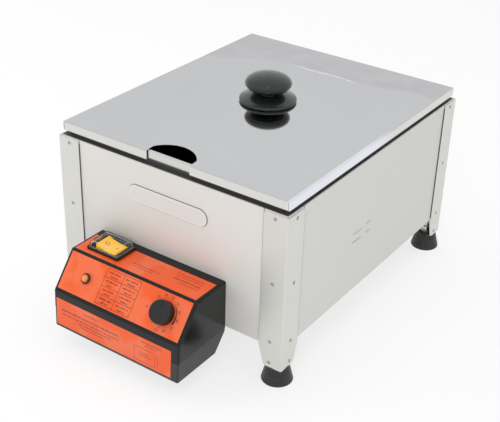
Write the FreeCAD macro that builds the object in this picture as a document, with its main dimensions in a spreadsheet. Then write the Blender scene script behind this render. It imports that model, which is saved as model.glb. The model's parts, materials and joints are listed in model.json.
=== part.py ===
import FreeCAD, Part
import math
import os
import re
import Sketcher

# Chocolate melter: a water bath on four sheet corner posts, a lift-out pan with a loose lid over it,
# and a control box on the front wall that holds the switch, the pilot lamp and the thermostat.
# The origin lies on the work surface under the middle of the whole footprint. X runs along the front
# wall, Y into the depth, Z up. Formulas measure from the middle of the tank, and each sub-part is then
# moved by the same step along Y. A reach is a distance forward from the outer face of the front posts.

SIZES = {
    # Corner posts and feet
    "body_width": 280.0,
    "body_depth": 341.6,
    "post_top": 189.5,
    "post_bottom": 19.1,
    "post_flange": 27.3,
    "post_sheet": 1.2,
    "post_bend": 1.4,
    "post_corner": 4.0,
    "post_foot_flange": 21.5,
    "post_nick": 3.5,
    "weld_inset": 14.5,
    "weld_radius": 1.7,
    "weld_dent": 0.4,
    "weld_top": 184.5,
    "weld_middle": 115.0,
    "weld_low": 49.0,
    "weld_foot": 24.5,
    "bracket_side": 19.5,
    "bracket_sheet": 1.5,
    "bracket_tab": 11.0,
    "bracket_tab_width": 13.0,
    "foot_inset": 11.1,
    "foot_radius": 16.0,
    "foot_neck_radius": 11.5,
    "foot_edge": 1.6,
    "foot_well_radius": 7.2,
    "foot_well": 8.0,
    "bolt_radius": 3.0,
    "bolt_play": 0.15,
    "bolt_head_radius": 5.0,
    "bolt_head": 3.4,
    "washer_radius": 6.6,
    "washer_sheet": 1.2,
    "nut_flats": 10.0,
    "nut_height": 5.0,
    "bolt_tip": 3.5,
    # Tank
    "tank_sheet": 1.0,
    "tank_bottom": 42.1,
    "tank_fold": 2.5,
    "tank_lip": 190.4,
    "plate_middle": 0.5,
    "plate_height": 155.5,
    "plate_length": 97.0,
    "plate_width": 19.0,
    "plate_rise": 1.0,
    "plate_edge": 0.45,
    "mark_rise": 0.6,
    "mark_maximum": 114.0,
    "mark_minimum": 104.0,
    "mark_middle": -36.8,
    "mark_length": 16.5,
    "mark_width": 1.3,
    # Pan
    "pan_side_inset": 4.5,
    "pan_end_inset": 6.8,
    "pan_width": "=body_width - 2 * pan_side_inset",
    "pan_length": "=body_depth - 2 * pan_end_inset",
    "pan_corner": 12.0,
    "pan_sheet": 0.8,
    "seat_gap": 0.3,
    "pan_skirt": 12.5,
    "pan_top": "=tank_lip + seat_gap + pan_skirt",
    "pan_depth": 100.0,
    "pan_wall_inset": 2.6,
    "pan_wall_corner": 20.0,
    "pan_draft": 5.0,
    "pan_floor_edge": 10.0,
    "well_play": 0.8,
    # Lid
    "lid_side_overhang": 1.75,
    "lid_end_overhang": 2.0,
    "lid_width": "=pan_width + 2 * lid_side_overhang",
    "lid_depth": "=pan_length + 2 * lid_end_overhang",
    "lid_skirt": 9.7,
    "lid_sheet": 0.8,
    "lid_top": "=pan_top + seat_gap + lid_sheet",
    "lid_fold": 1.5,
    "lid_crown": 3.4,
    "notch_middle": -1.6,
    "notch_width": 52.6,
    "notch_side": 11.0,
    "notch_depth": 26.0,
    "knob_disc_radius": 30.7,
    "knob_disc_edge": 3.8,
    "knob_disc_rise": 9.3,
    "knob_neck_radius": 13.0,
    "knob_bulb_radius": 24.9,
    "knob_bulb_middle": 20.0,
    "knob_bulb_half": 10.9,
    "insert_radius": 5.0,
    "insert_length": 15.0,
    "knob_screw_radius": 3.0,
    "knob_washer_radius": 10.0,
    "knob_screw_short": 3.0,
    # Control box
    "box_left": -88.0,
    "box_length": 160.0,
    "box_wall": 2.5,
    "box_edge": 2.2,
    "box_top_reach": 43.3,
    "box_top": 96.0,
    "box_slope_reach": 71.6,
    "box_slope_foot": 60.3,
    "box_seam": 41.0,
    "box_front_reach": 73.6,
    "box_bottom": 18.5,
    "box_chamfer_reach": 14.0,
    "box_chamfer_top": 36.3,
    "tray_inset": 0.4,
    "tray_edge": 1.2,
    "tongue_gap": 0.2,
    "tongue_sheet": 1.2,
    "tongue_height": 3.0,
    "boss_radius": 4.0,
    "boss_height": 15.0,
    "boss_end": 1.5,
    "tray_screw_short": 4.0,
    "tray_screw_sink": 0.4,
    "boss_inset": 6.0,
    "boss_rear_reach": 23.0,
    "boss_front_reach": 66.6,
    "tray_screw_radius": 1.5,
    "tray_screw_head": 2.9,
    "stud_radius": 2.0,
    "stud_length": 10.5,
    "stud_nut_flats": 7.0,
    "stud_nut_height": 3.2,
    "stud_inset": 9.0,
    "stud_low": 52.0,
    "stud_high": 88.0,
    "tool_room": 3.0,
    "label_sheet": 0.25,
    "label_margin": 3.5,
    "label_play": 0.3,
    "label_rear_margin": 9.5,
    "label_head_margin": 2.2,
    "label_front_margin": 7.8,
    "label_front_end": 9.0,
    # Switch
    "switch_inset": 34.2,
    "switch_reach": 21.6,
    "switch_length": 30.0,
    "switch_width": 22.0,
    "switch_depth": 25.0,
    "switch_bezel": 1.5,
    "switch_bezel_height": 2.0,
    "switch_well": 14.0,
    "switch_well_wall": 1.3,
    "frame_length": 41.5,
    "frame_width": 29.0,
    "frame_height": 3.2,
    "hood_length": 38.0,
    "hood_width": 27.2,
    "hood_top_length": 32.0,
    "hood_top_width": 23.6,
    "hood_height": 6.9,
    "hood_sheet": 1.0,
    "rocker_length": 24.6,
    "rocker_width": 19.4,
    "rocker_pivot_drop": 1.6,
    "rocker_rise": 6.7,
    "rocker_dip": 1.9,
    "rocker_tilt": 9.0,
    "rocker_play": 0.4,
    "pivot_radius": 1.5,
    "running_play": 0.05,
    "rocker_belly": 5.0,
    "rocker_chin": 3.0,
    "frame_corner": 2.0,
    "frame_edge": 1.0,
    "frame_gap": 0.2,
    "hood_corner": 3.0,
    "blade_length": 8.0,
    "blade_width": 4.8,
    "blade_sheet": 0.8,
    "blade_step_along": 8.0,
    "blade_step_across": 5.0,
    # Pilot lamp
    "pilot_inset": 32.7,
    "pilot_down": 22.6,
    "pilot_radius": 6.8,
    "pilot_flange": 1.4,
    "pilot_dome_radius": 4.9,
    "pilot_dome": 4.6,
    "pilot_thread_radius": 5.6,
    "pilot_depth": 22.0,
    "pilot_nut_flats": 14.6,
    "pilot_nut_height": 3.0,
    # Thermostat
    "dial_inset": 29.8,
    "dial_down": 21.8,
    "dial_radius": 12.5,
    "dial_height": 8.0,
    "dial_lift": 0.8,
    "dial_taper": 0.6,
    "dial_edge": 1.2,
    "dial_dish": 0.5,
    "dial_web": 2.4,
    "dial_wall": 2.0,
    "dial_hub_wall": 2.5,
    "dial_hub_lift": 3.0,
    "dial_hub_edge": 1.5,
    "groove_width": 1.0,
    "groove_depth": 0.7,
    "groove_start": 2.5,
    "shaft_radius": 3.0,
    "bush_radius": 5.0,
    "bush_nut_flats": 14.0,
    "bush_nut_height": 2.5,
    "bush_stand": 0.6,
    "thermostat_radius": 17.5,
    "thermostat_depth": 24.0,
    "thermostat_cap": 5.0,
    "thermostat_cap_inset": 2.0,
    "thermostat_floor": 6.0,
    "thermostat_bevel": 1.5,
    "thermostat_blade_step": 10.0,
    "shaft_end_gap": 0.3,
    "capillary_bend": 4.0,
    "capillary_radius": 1.0,
    "sensor_height": 60.0,
    "sensor_radius": 5.0,
    "sensor_length": 95.0,
    "sensor_bulb_radius": 3.2,
    "sensor_bulb_length": 55.0,
    "sensor_flange": 2.0,
    "sensor_flange_width": 4.0,
    "sensor_nut_flats": 15.0,
    "sensor_nut_height": 4.0,
    "sensor_tip": 1.0,
    # Heating element
    "element_left_inset": 58.0,
    "element_right_inset": 57.0,
    "element_height": 62.0,
    "element_radius": 4.0,
    "element_end": 118.0,
    "ferrule_radius": 7.0,
    "ferrule_flange_radius": 11.0,
    "ferrule_flange": 3.0,
    "ferrule_inside": 6.0,
    "seal_sheet": 2.0,
    "element_nut_flats": 19.0,
    "element_nut_height": 5.0,
    "ferrule_reach": 11.0,
    "element_stand": 1.0,
    "pin_radius": 1.6,
    "pin_length": 11.0,
    "support_place": 80.0,
    "support_sheet": 1.2,
    "support_foot": 12.0,
    # Supply
    "block_inset": 22.0,
    "block_length": 36.0,
    "block_reach": 33.0,
    "block_width": 19.0,
    "block_height": 15.0,
    "block_entry_radius": 2.2,
    "block_entry_height": 4.5,
    "block_screw_radius": 2.3,
    "block_screw_height": 4.0,
    "block_screw_drop": 5.0,
    "cord_bore_radius": 3.8,
    "cord_bush_radius": 6.3,
    "cord_bush_flange_radius": 8.8,
    "cord_bush_flange": 3.0,
    "cord_bush_tail": 3.5,
    "cord_bush_barb": 1.0,
    "wire_radius": 1.1,
    "wire_bend": 3.0,
    "wire_lead": 8.0,
    "wire_gap": 0.2,
    "wire_level": 48.0,
}

doc = FreeCAD.newDocument("chocolate_melter")
dims = doc.addObject("Spreadsheet::Sheet", "dims")
for row, (alias, value) in enumerate(SIZES.items(), start=1):
    dims.set(f"A{row}", alias.replace("_", " "))
    dims.set(f"B{row}", str(value))
    dims.setAlias(f"B{row}", alias)
doc.recompute()

Vector = FreeCAD.Vector
UP = Vector(0, 0, 1)
NODES = {}

# Places that several sub-parts share, as formulas
HALF_WIDTH = "body_width / 2"
HALF_DEPTH = "body_depth / 2"
TANK_X = "(body_width / 2 - post_sheet)"
TANK_Y = "(body_depth / 2 - post_sheet)"
FRONT_WALL = f"(0 - {TANK_Y})"
SLOPE_RUN = "(box_slope_reach - box_top_reach)"
SLOPE_DROP = "(box_top - box_slope_foot)"
SLOPE_LENGTH = f"sqrt({SLOPE_RUN}^2 + {SLOPE_DROP}^2)"
ACROSS = f"({SLOPE_RUN} / {SLOPE_LENGTH})"
DOWN = f"({SLOPE_DROP} / {SLOPE_LENGTH})"
DIAL_SIDE = "(dial_radius - dial_taper - dial_edge * 0.3)"
DIAL_CROWN = "(dial_lift + dial_height - dial_edge * 0.3)"
DIAL_REACH = f"(box_top_reach + (dial_down + {DIAL_SIDE}) * {ACROSS} + {DIAL_CROWN} * {DOWN})"
LABEL_LOW = "(box_bottom + label_margin)"
FACE_LEAN = "((box_front_reach - box_slope_reach) / (box_slope_foot - box_bottom))"
LABEL_REACH = f"(box_slope_reach + {FACE_LEAN} * (box_slope_foot - {LABEL_LOW}) + label_sheet)"
ORIGIN_STEP = f"(max({DIAL_REACH}; {LABEL_REACH}; box_front_reach) + foot_inset - foot_radius) / 2"
LID_MIDDLE = "(lid_top + lid_crown)"
PAN_SEAT = "(tank_lip + seat_gap)"
TRAY_FLOOR = "(box_bottom + box_wall)"
TRAY_WALL = "(box_wall + tongue_gap + tongue_sheet)"
BOX_RIGHT = "(box_left + box_length)"
SWITCH_X = "(box_left + switch_inset)"
PILOT_X = "(box_left + pilot_inset)"
DIAL_X = f"({BOX_RIGHT} - dial_inset)"
ELEMENT_LEFT = "(box_left + element_left_inset)"
ELEMENT_RIGHT = f"({BOX_RIGHT} - element_right_inset)"
BLOCK_LEFT = "(box_left + block_inset)"
CORD_X = "(box_left + box_length / 2)"
SWITCH_SEAT = "(box_top + label_sheet)"
SWITCH_FOOT = f"({SWITCH_SEAT} - switch_depth)"
THERMOSTAT_REAR = "(0 - box_wall - thermostat_depth)"
CORNERS = {"front_left": (-1, -1), "front_right": (1, -1), "rear_left": (-1, 1), "rear_right": (1, 1)}
NORMALS = {"XY": 1, "XZ": -1, "YZ": 1}
AHEAD = FreeCAD.Rotation(Vector(1, 0, 0), 90)
BACK = FreeCAD.Rotation(Vector(1, 0, 0), -90)


def formula(text):
    """Turn bare size names into references to the cells of the sheet."""
    return re.sub(r"[a-z_]{3,}", lambda m: "dims." + m.group(0) if m.group(0) in SIZES else m.group(0), text)


def number(text):
    return float(dims.evalExpression(formula(str(text))))


def bind(thing, name, text):
    thing.setExpression(name, formula(str(text)))


def spot(x, y, z):
    return Vector(number(x), number(y), number(z))


def put(piece, x, y, z, turn=None):
    if turn is not None:
        piece.Placement = FreeCAD.Placement(Vector(0, 0, 0), turn)
    for axis, text in zip("xyz", (x, y, z)):
        bind(piece, f"Placement.Base.{axis}", text)
    return piece


def reach(text, gap="0"):
    """The Y of a point that stands forward of the outer face of the front posts."""
    return f"0 - ({HALF_DEPTH} + {text}) + ({gap})"


def slope_turn():
    angle = math.degrees(math.atan2(number(SLOPE_DROP), number(SLOPE_RUN)))
    return FreeCAD.Rotation(Vector(1, 0, 0), angle)


def slope_place(x, down, out):
    """A point over the sloped face of the box: along it from its top edge, then out along its normal."""
    return (x, f"0 - ({HALF_DEPTH} + box_top_reach + ({down}) * {ACROSS} + ({out}) * {DOWN})",
            f"box_top - ({down}) * {DOWN} + ({out}) * {ACROSS}")


def front_reach(height):
    """The reach of the slanted front face at a height."""
    return f"(box_slope_reach + {FACE_LEAN} * (box_slope_foot - ({height})))"


def scratch(kind, label):
    return doc.addObject(kind, label + "_form")


def block(label, length, width, height, x, y, z, turn=None):
    piece = scratch("Part::Box", label)
    bind(piece, "Length", length)
    bind(piece, "Width", width)
    bind(piece, "Height", height)
    return put(piece, x, y, z, turn)


def rod(label, radius, length, x, y, z, turn=None):
    piece = scratch("Part::Cylinder", label)
    bind(piece, "Radius", radius)
    bind(piece, "Height", length)
    return put(piece, x, y, z, turn)


def hexagon(label, flats, height, x, y, z, turn=None):
    piece = scratch("Part::Prism", label)
    piece.Polygon = 6
    bind(piece, "Circumradius", f"({flats}) / 2 / cos(30)")
    bind(piece, "Height", height)
    return put(piece, x, y, z, turn)


def together(label, pieces):
    if len(pieces) == 1:
        return pieces[0]
    whole = scratch("Part::MultiFuse", label)
    whole.Shapes = pieces
    return whole


def apart(label, pieces):
    whole = scratch("Part::Compound", label)
    whole.Links = pieces
    return whole


def minus(label, base, tools):
    whole = scratch("Part::Cut", label)
    whole.Base = base
    whole.Tool = together(label + "_cutter", tools) if len(tools) > 1 else tools[0]
    return whole


def keep(label, piece):
    """Name a finished sub-part and move it from the tank's middle to the common origin."""
    if piece.TypeId not in ("PartDesign::Body", "Part::Cut", "Part::MultiFuse", "Part::Compound"):
        piece = apart(label, [piece])
    piece.Label = label
    bind(piece, "Placement.Base.y", ORIGIN_STEP)
    NODES[label] = piece
    return piece


def keep_shape(label, shape):
    """Keep a sub-part whose shape is worked out here from the sheet's values."""
    piece = doc.addObject("Part::Feature", label)
    piece.Shape = shape
    piece.Label = label
    bind(piece, "Placement.Base.y", ORIGIN_STEP)
    NODES[label] = piece
    return piece


def new_body(label):
    return doc.addObject("PartDesign::Body", label + "_form")


def base_plane(body, plane):
    return [item for item in body.Origin.OriginFeatures if item.Role == plane + "_Plane"][0]


def blank_sketch(body, plane, offset):
    sketch = body.newObject("Sketcher::SketchObject", "outline")
    sketch.AttachmentSupport = [(base_plane(body, plane), "")]
    sketch.MapMode = "FlatFace"
    sign = "" if NORMALS[plane] > 0 else "0 - "
    bind(sketch, "AttachmentOffset.Base.z", f"{sign}({offset})")
    return sketch


def hold(sketch, kind, edge, end, text):
    index = sketch.addConstraint(Sketcher.Constraint(kind, -1, 1, edge, end, number(text)))
    bind(sketch, f"Constraints[{index}]", text)


def draw_loop(sketch, corners):
    """A closed loop. A corner is (across, up), with a third entry where an arc leaves it: a point on it."""
    spots = [Vector(number(corner[0]), number(corner[1]), 0) for corner in corners]
    ends = []
    for index, corner in enumerate(corners):
        start = spots[index]
        finish = spots[(index + 1) % len(corners)]
        if len(corner) == 2:
            ends.append((sketch.addGeometry(Part.LineSegment(start, finish), False), 1, 2))
            continue
        via = Vector(number(corner[2][0]), number(corner[2][1]), 0)
        leftward = (via - start).cross(finish - via).z > 0
        arc = Part.Arc(start, via, finish) if leftward else Part.Arc(finish, via, start)
        edge = sketch.addGeometry(arc, False)
        ends.append((edge, 1, 2) if leftward else (edge, 2, 1))
        pip = sketch.addGeometry(Part.Point(via), True)
        hold(sketch, "DistanceX", pip, 1, corner[2][0])
        hold(sketch, "DistanceY", pip, 1, corner[2][1])
        sketch.addConstraint(Sketcher.Constraint("PointOnObject", pip, 1, edge))
    for index, corner in enumerate(corners):
        edge, start, finish = ends[index]
        following = ends[(index + 1) % len(corners)]
        sketch.addConstraint(Sketcher.Constraint("Coincident", edge, finish, following[0], following[1]))
        hold(sketch, "DistanceX", edge, start, corner[0])
        hold(sketch, "DistanceY", edge, start, corner[1])


def outline(body, plane, corners, offset="0"):
    sketch = blank_sketch(body, plane, offset)
    draw_loop(sketch, corners)
    return sketch


def rectangle(width, depth, middle=("0", "0")):
    low_x = f"{middle[0]} - ({width}) / 2"
    high_x = f"{middle[0]} + ({width}) / 2"
    low_y = f"{middle[1]} - ({depth}) / 2"
    high_y = f"{middle[1]} + ({depth}) / 2"
    return [(low_x, low_y), (high_x, low_y), (high_x, high_y), (low_x, high_y)]


def rounded(width, depth, corner, middle=("0", "0")):
    """A rectangle with round corners, each corner an arc through its own middle."""
    bulge = f"({corner}) * (1 - sqrt(2) / 2)"
    loop = []
    for sx, sy, first in ((1, -1, "y"), (1, 1, "x"), (-1, 1, "y"), (-1, -1, "x")):
        edge_x = f"({middle[0]}) + {sx} * ({width}) / 2"
        edge_y = f"({middle[1]}) + {sy} * ({depth}) / 2"
        along_x = (f"{edge_x} - {sx} * ({corner})", edge_y)
        along_y = (edge_x, f"{edge_y} - {sy} * ({corner})")
        via = (f"{edge_x} - {sx} * {bulge}", f"{edge_y} - {sy} * {bulge}")
        start, finish = (along_x, along_y) if first == "y" else (along_y, along_x)
        loop += [(start[0], start[1], via), finish]
    return loop


def draw_out(body, kind, sketch, length, toward):
    """Pad or pocket a sketch towards one side of its plane."""
    feature = body.newObject("PartDesign::" + kind, kind.lower())
    feature.Profile = sketch
    bind(feature, "Length", length)
    plane = sketch.AttachmentSupport[0][0].Role.split("_")[0]
    with_normal = (toward == "+") == (NORMALS[plane] > 0)
    feature.Reversed = not with_normal if kind == "Pad" else with_normal
    body.Tip = feature
    doc.recompute()
    return feature


def pad(body, plane, corners, offset, length, toward="+"):
    return draw_out(body, "Pad", outline(body, plane, corners, offset), length, toward)


def pocket(body, plane, corners, offset, length, toward="-"):
    before = body.Shape.Volume
    feature = draw_out(body, "Pocket", outline(body, plane, corners, offset), length, toward)
    if body.Shape.Volume >= before:
        raise RuntimeError(f"{body.Label}: a pocket cuts nothing")
    return feature


def loft(body, kind, sections):
    """Blend closed loops at rising heights. Each section is (loop, height)."""
    sketches = [outline(body, "XY", loop, height) for loop, height in sections]
    feature = body.newObject("PartDesign::" + kind, "loft")
    feature.Profile = sketches[0]
    feature.Sections = sketches[1:]
    feature.Ruled = True
    body.Tip = feature
    doc.recompute()
    return feature


def wedge(body, width, depth, draft, bottom, top):
    """A block that narrows downwards by a draft on each side."""
    feature = body.newObject("PartDesign::AdditiveWedge", "wedge")
    feature.Placement = FreeCAD.Placement(Vector(0, 0, 0), FreeCAD.Rotation(Vector(1, 0, 0), 90))
    for axis, size in (("X", width), ("Z", depth)):
        bind(feature, f"{axis}max", f"({size}) / 2 - ({draft})")
        bind(feature, f"{axis}min", f"({draft}) - ({size}) / 2")
        bind(feature, f"{axis}2max", f"({size}) / 2")
        bind(feature, f"{axis}2min", f"0 - ({size}) / 2")
    bind(feature, "Ymax", top)
    bind(feature, "Ymin", bottom)
    body.Tip = feature
    doc.recompute()
    return feature


def spin(body, corners):
    """Turn a profile of (radius, height) corners about the Z axis."""
    sketch = outline(body, "XZ", corners)
    feature = body.newObject("PartDesign::Revolution", "turned")
    feature.Profile = sketch
    feature.ReferenceAxis = (sketch, ["V_Axis"])
    feature.Angle = 360.0
    body.Tip = feature
    doc.recompute()
    return feature


def round_edges(body, radius, chosen):
    """Fillet the edges whose middle and direction pass a test."""
    base = body.Tip
    names = []
    for index, edge in enumerate(body.Shape.Edges, start=1):
        if edge.Degenerated:
            continue
        middle = edge.valueAt((edge.FirstParameter + edge.LastParameter) / 2)
        run = edge.tangentAt(edge.FirstParameter)
        if chosen(middle, run):
            names.append(f"Edge{index}")
    feature = body.newObject("PartDesign::Fillet", "rounding")
    feature.Base = (base, names)
    bind(feature, "Radius", radius)
    body.Tip = feature
    doc.recompute()
    return feature


def near(value, text, slack=0.01):
    return abs(value - number(text)) < slack


def tube(points, bend, radius):
    """A round tube along straight runs joined by arcs of one bend radius."""
    edges = []
    start = points[0]
    for before, corner, after in zip(points, points[1:], points[2:]):
        into = (corner - before).normalize()
        out = (after - corner).normalize()
        half = into.getAngle(out) / 2
        setback = bend * math.tan(half)
        first = corner - into * setback
        last = corner + out * setback
        middle = corner + (out - into).normalize() * (bend / math.cos(half) - bend)
        if (first - start).Length > 0.01:
            edges.append(Part.LineSegment(start, first).toShape())
        edges.append(Part.Arc(first, middle, last).toShape())
        start = last
    if (points[-1] - start).Length > 0.01:
        edges.append(Part.LineSegment(start, points[-1]).toShape())
    path = Part.Wire(edges)
    ring = Part.Wire([Part.Circle(points[0], (points[1] - points[0]).normalize(), radius).toShape()])
    solid = path.makePipeShell([ring], True, False)
    if abs(solid.Volume / (math.pi * radius * radius * path.Length) - 1) > 0.01:
        raise RuntimeError("a tube came out with the wrong volume")
    return solid


# Tank


def make_tank():
    """Folded sheet tank: four walls, a lip folded inwards and a bare oval plate pressed into the front."""
    body = new_body("tank")
    width = f"2 * {TANK_X}"
    depth = f"2 * {TANK_Y}"
    pad(body, "XY", rectangle(width, depth), "tank_bottom", "tank_lip - tank_bottom")
    round_edges(body, "tank_fold", lambda at, run: abs(run.z) > 0.9 or near(at.z, "tank_bottom"))
    inner = rounded(f"{width} - 2 * tank_sheet", f"{depth} - 2 * tank_sheet", "tank_fold - tank_sheet / 2")
    pocket(body, "XY", inner, "tank_lip - tank_sheet", "tank_lip - 2 * tank_sheet - tank_bottom")
    mouth = rounded("pan_width - 2 * (pan_wall_inset - well_play)",
                    "pan_length - 2 * (pan_wall_inset - well_play)", "pan_wall_corner + well_play")
    pocket(body, "XY", mouth, "tank_lip", "tank_sheet")
    plate = rounded("plate_length", "plate_width", "plate_width / 2 - 0.01", ("plate_middle", "plate_height"))
    pad(body, "XZ", plate, FRONT_WALL, "plate_rise", "-")
    round_edges(body, "plate_edge", lambda at, run: near(at.y, f"{FRONT_WALL} - plate_rise"))
    hollow = rounded("plate_length - 2 * tank_sheet", "plate_width - 2 * tank_sheet",
                     "plate_width / 2 - tank_sheet - 0.01", ("plate_middle", "plate_height"))
    pocket(body, "XZ", hollow, f"{FRONT_WALL} + tank_sheet", "plate_rise", "-")
    for height in ("mark_maximum", "mark_minimum"):
        mark = rectangle("mark_length", "mark_width", ("mark_middle", height))
        pad(body, "YZ", mark, TANK_X, "mark_rise", "+")
    holes = []
    for x, height, radius in ((ELEMENT_LEFT, "element_height", "ferrule_radius + bolt_play"),
                              (ELEMENT_RIGHT, "element_height", "ferrule_radius + bolt_play"),
                              (DIAL_X, "sensor_height", "sensor_radius + bolt_play")):
        holes.append(rod("wall_hole", radius, "4 * tank_sheet", x, f"{FRONT_WALL} + 2 * tank_sheet", height,
                         AHEAD))
    keep("tank", minus("tank", body, holes))


# Corner posts, brackets and feet


def make_post(name, sx, sy):
    """Angle post: its lower end tapers to the foot, and spot welds leave a row of dents on each flange."""
    body = new_body("post_" + name)
    outer_x, outer_y = f"{sx} * {HALF_WIDTH}", f"{sy} * {HALF_DEPTH}"
    corners = [(outer_x, outer_y),
               (f"{outer_x} - {sx} * post_flange", outer_y),
               (f"{outer_x} - {sx} * post_flange", f"{outer_y} - {sy} * post_sheet"),
               (f"{outer_x} - {sx} * post_sheet", f"{outer_y} - {sy} * post_sheet"),
               (f"{outer_x} - {sx} * post_sheet", f"{outer_y} - {sy} * post_flange"),
               (outer_x, f"{outer_y} - {sy} * post_flange")]
    pad(body, "XY", corners, "post_bottom", "post_top - post_bottom")
    for plane, edge, side in (("XZ", outer_x, sx), ("YZ", outer_y, sy)):
        taper = [(f"{edge} - {side} * (post_flange + 1)", "tank_bottom"),
                 (f"{edge} - {side} * post_flange", "tank_bottom"),
                 (f"{edge} - {side} * post_foot_flange", "post_bottom + post_nick / 2"),
                 (f"{edge} - {side} * (post_foot_flange - post_nick)", "post_bottom"),
                 (f"{edge} - {side} * (post_foot_flange - post_nick)", "post_bottom - 1"),
                 (f"{edge} - {side} * (post_flange + 1)", "post_bottom - 1")]
        across = sy if plane == "XZ" else sx
        face = outer_y if plane == "XZ" else outer_x
        pocket(body, plane, taper, f"{face} + {across} * 1", "post_sheet + 2", "-" if across > 0 else "+")
    round_edges(body, "post_corner", lambda at, run: near(at.z, "post_top") and on_flange_end(at, run))
    round_edges(body, "post_bend", lambda at, run: abs(run.z) > 0.9 and near(at.x, outer_x)
                and near(at.y, outer_y))
    dents = []
    drop = "(weld_radius^2 + weld_dent^2) / 2 / weld_dent"
    for height in ("weld_top", "weld_middle", "weld_low", "weld_foot"):
        for x, y in ((f"{outer_x} - {sx} * weld_inset", f"{outer_y} + {sy} * ({drop} - weld_dent)"),
                     (f"{outer_x} + {sx} * ({drop} - weld_dent)", f"{outer_y} - {sy} * weld_inset")):
            dent = scratch("Part::Sphere", "dent")
            bind(dent, "Radius", drop)
            dents.append(put(dent, x, y, height))
    keep("post_" + name, minus("post_" + name, body, dents))


def on_flange_end(at, run):
    """True on the short top edges at the free ends of the two flanges."""
    ends_x = near(abs(at.x), f"{HALF_WIDTH} - post_flange") and abs(run.y) > 0.9
    ends_y = near(abs(at.y), f"{HALF_DEPTH} - post_flange") and abs(run.x) > 0.9
    return ends_x or ends_y


def make_bracket(name, sx, sy):
    """Welded foot bracket: a cut-off square floor with a tab up each flange and a hole for the foot bolt."""
    body = new_body("foot_bracket_" + name)
    edge_x, edge_y = f"{sx} * {TANK_X}", f"{sy} * {TANK_Y}"
    floor = [(edge_x, edge_y),
             (f"{edge_x} - {sx} * bracket_side", edge_y),
             (f"{edge_x} - {sx} * bracket_side", f"{edge_y} - {sy} * bracket_side / 2"),
             (f"{edge_x} - {sx} * bracket_side / 2", f"{edge_y} - {sy} * bracket_side"),
             (edge_x, f"{edge_y} - {sy} * bracket_side")]
    pad(body, "XY", floor, "post_bottom", "bracket_sheet")
    start = "(bracket_sheet + 0.5)"
    for along_x in (True, False):
        far = f"({start} + bracket_tab_width)"
        low = (start, "0") if along_x else ("0", start)
        high = (far, "bracket_sheet") if along_x else ("bracket_sheet", far)
        tab = [(f"{edge_x} - {sx} * {low[0]}", f"{edge_y} - {sy} * {low[1]}"),
               (f"{edge_x} - {sx} * {high[0]}", f"{edge_y} - {sy} * {low[1]}"),
               (f"{edge_x} - {sx} * {high[0]}", f"{edge_y} - {sy} * {high[1]}"),
               (f"{edge_x} - {sx} * {low[0]}", f"{edge_y} - {sy} * {high[1]}")]
        pad(body, "XY", tab, "post_bottom + bracket_sheet", "bracket_tab - bracket_sheet")
    x, y = foot_place(sx, sy)
    hole = rod("bolt_hole", "bolt_radius + bolt_play", "bracket_sheet + 2", x, y, "post_bottom - 1")
    keep("foot_bracket_" + name, minus("foot_bracket_" + name, body, [hole]))


def foot_place(sx, sy):
    return f"{sx} * ({HALF_WIDTH} - foot_inset)", f"{sy} * ({HALF_DEPTH} - foot_inset)"


def make_foot(name, sx, sy):
    """Tapered rubber foot with a well underneath for the head of its bolt."""
    body = new_body("foot_" + name)
    bore = "(bolt_radius + bolt_play)"
    edge_via = ("foot_radius - foot_edge * (1 - sqrt(2) / 2)", "foot_edge * (1 - sqrt(2) / 2)")
    spin(body, [(bore, "foot_well"),
                ("foot_well_radius", "foot_well"),
                ("foot_well_radius", "0"),
                ("foot_radius - foot_edge", "0", edge_via),
                ("foot_radius", "foot_edge"),
                ("foot_neck_radius", "post_bottom"),
                (bore, "post_bottom")])
    keep("foot_" + name, body)
    x, y = foot_place(sx, sy)
    bind(body, "Placement.Base.x", x)
    bind(body, "Placement.Base.y", f"{y} + {ORIGIN_STEP}")


def make_foot_fasteners():
    """The bolt, its washers and its nut at each foot, as four like solids in each node."""
    bolts, cups, washers, nuts = [], [], [], []
    bore = "bolt_radius + bolt_play"
    head_bottom = "(foot_well - washer_sheet - bolt_head)"
    floor_top = "(post_bottom + bracket_sheet)"
    nut_bottom = f"({floor_top} + washer_sheet)"
    for sx, sy in CORNERS.values():
        x, y = foot_place(sx, sy)
        head = rod("bolt_head", "bolt_head_radius", "bolt_head", x, y, head_bottom)
        shank = rod("bolt_shank", "bolt_radius", f"{nut_bottom} + nut_height + bolt_tip - {head_bottom}",
                    x, y, head_bottom)
        bolts.append(together("foot_bolt", [head, shank]))
        for made, bottom in ((cups, "foot_well - washer_sheet"), (washers, floor_top)):
            disc = rod("washer", "washer_radius", "washer_sheet", x, y, bottom)
            hole = rod("washer_hole", bore, "3 * washer_sheet", x, y, f"{bottom} - washer_sheet")
            made.append(minus("washer", disc, [hole]))
        blank = hexagon("nut", "nut_flats", "nut_height", x, y, nut_bottom)
        hole = rod("nut_hole", "bolt_radius + running_play", "3 * nut_height", x, y,
                   f"{nut_bottom} - nut_height")
        nuts.append(minus("nut", blank, [hole]))
    keep("foot_bolts", apart("foot_bolts", bolts))
    keep("foot_cup_washers", apart("foot_cup_washers", cups))
    keep("foot_washers", apart("foot_washers", washers))
    keep("foot_nuts", apart("foot_nuts", nuts))


# Pan and lid


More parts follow.
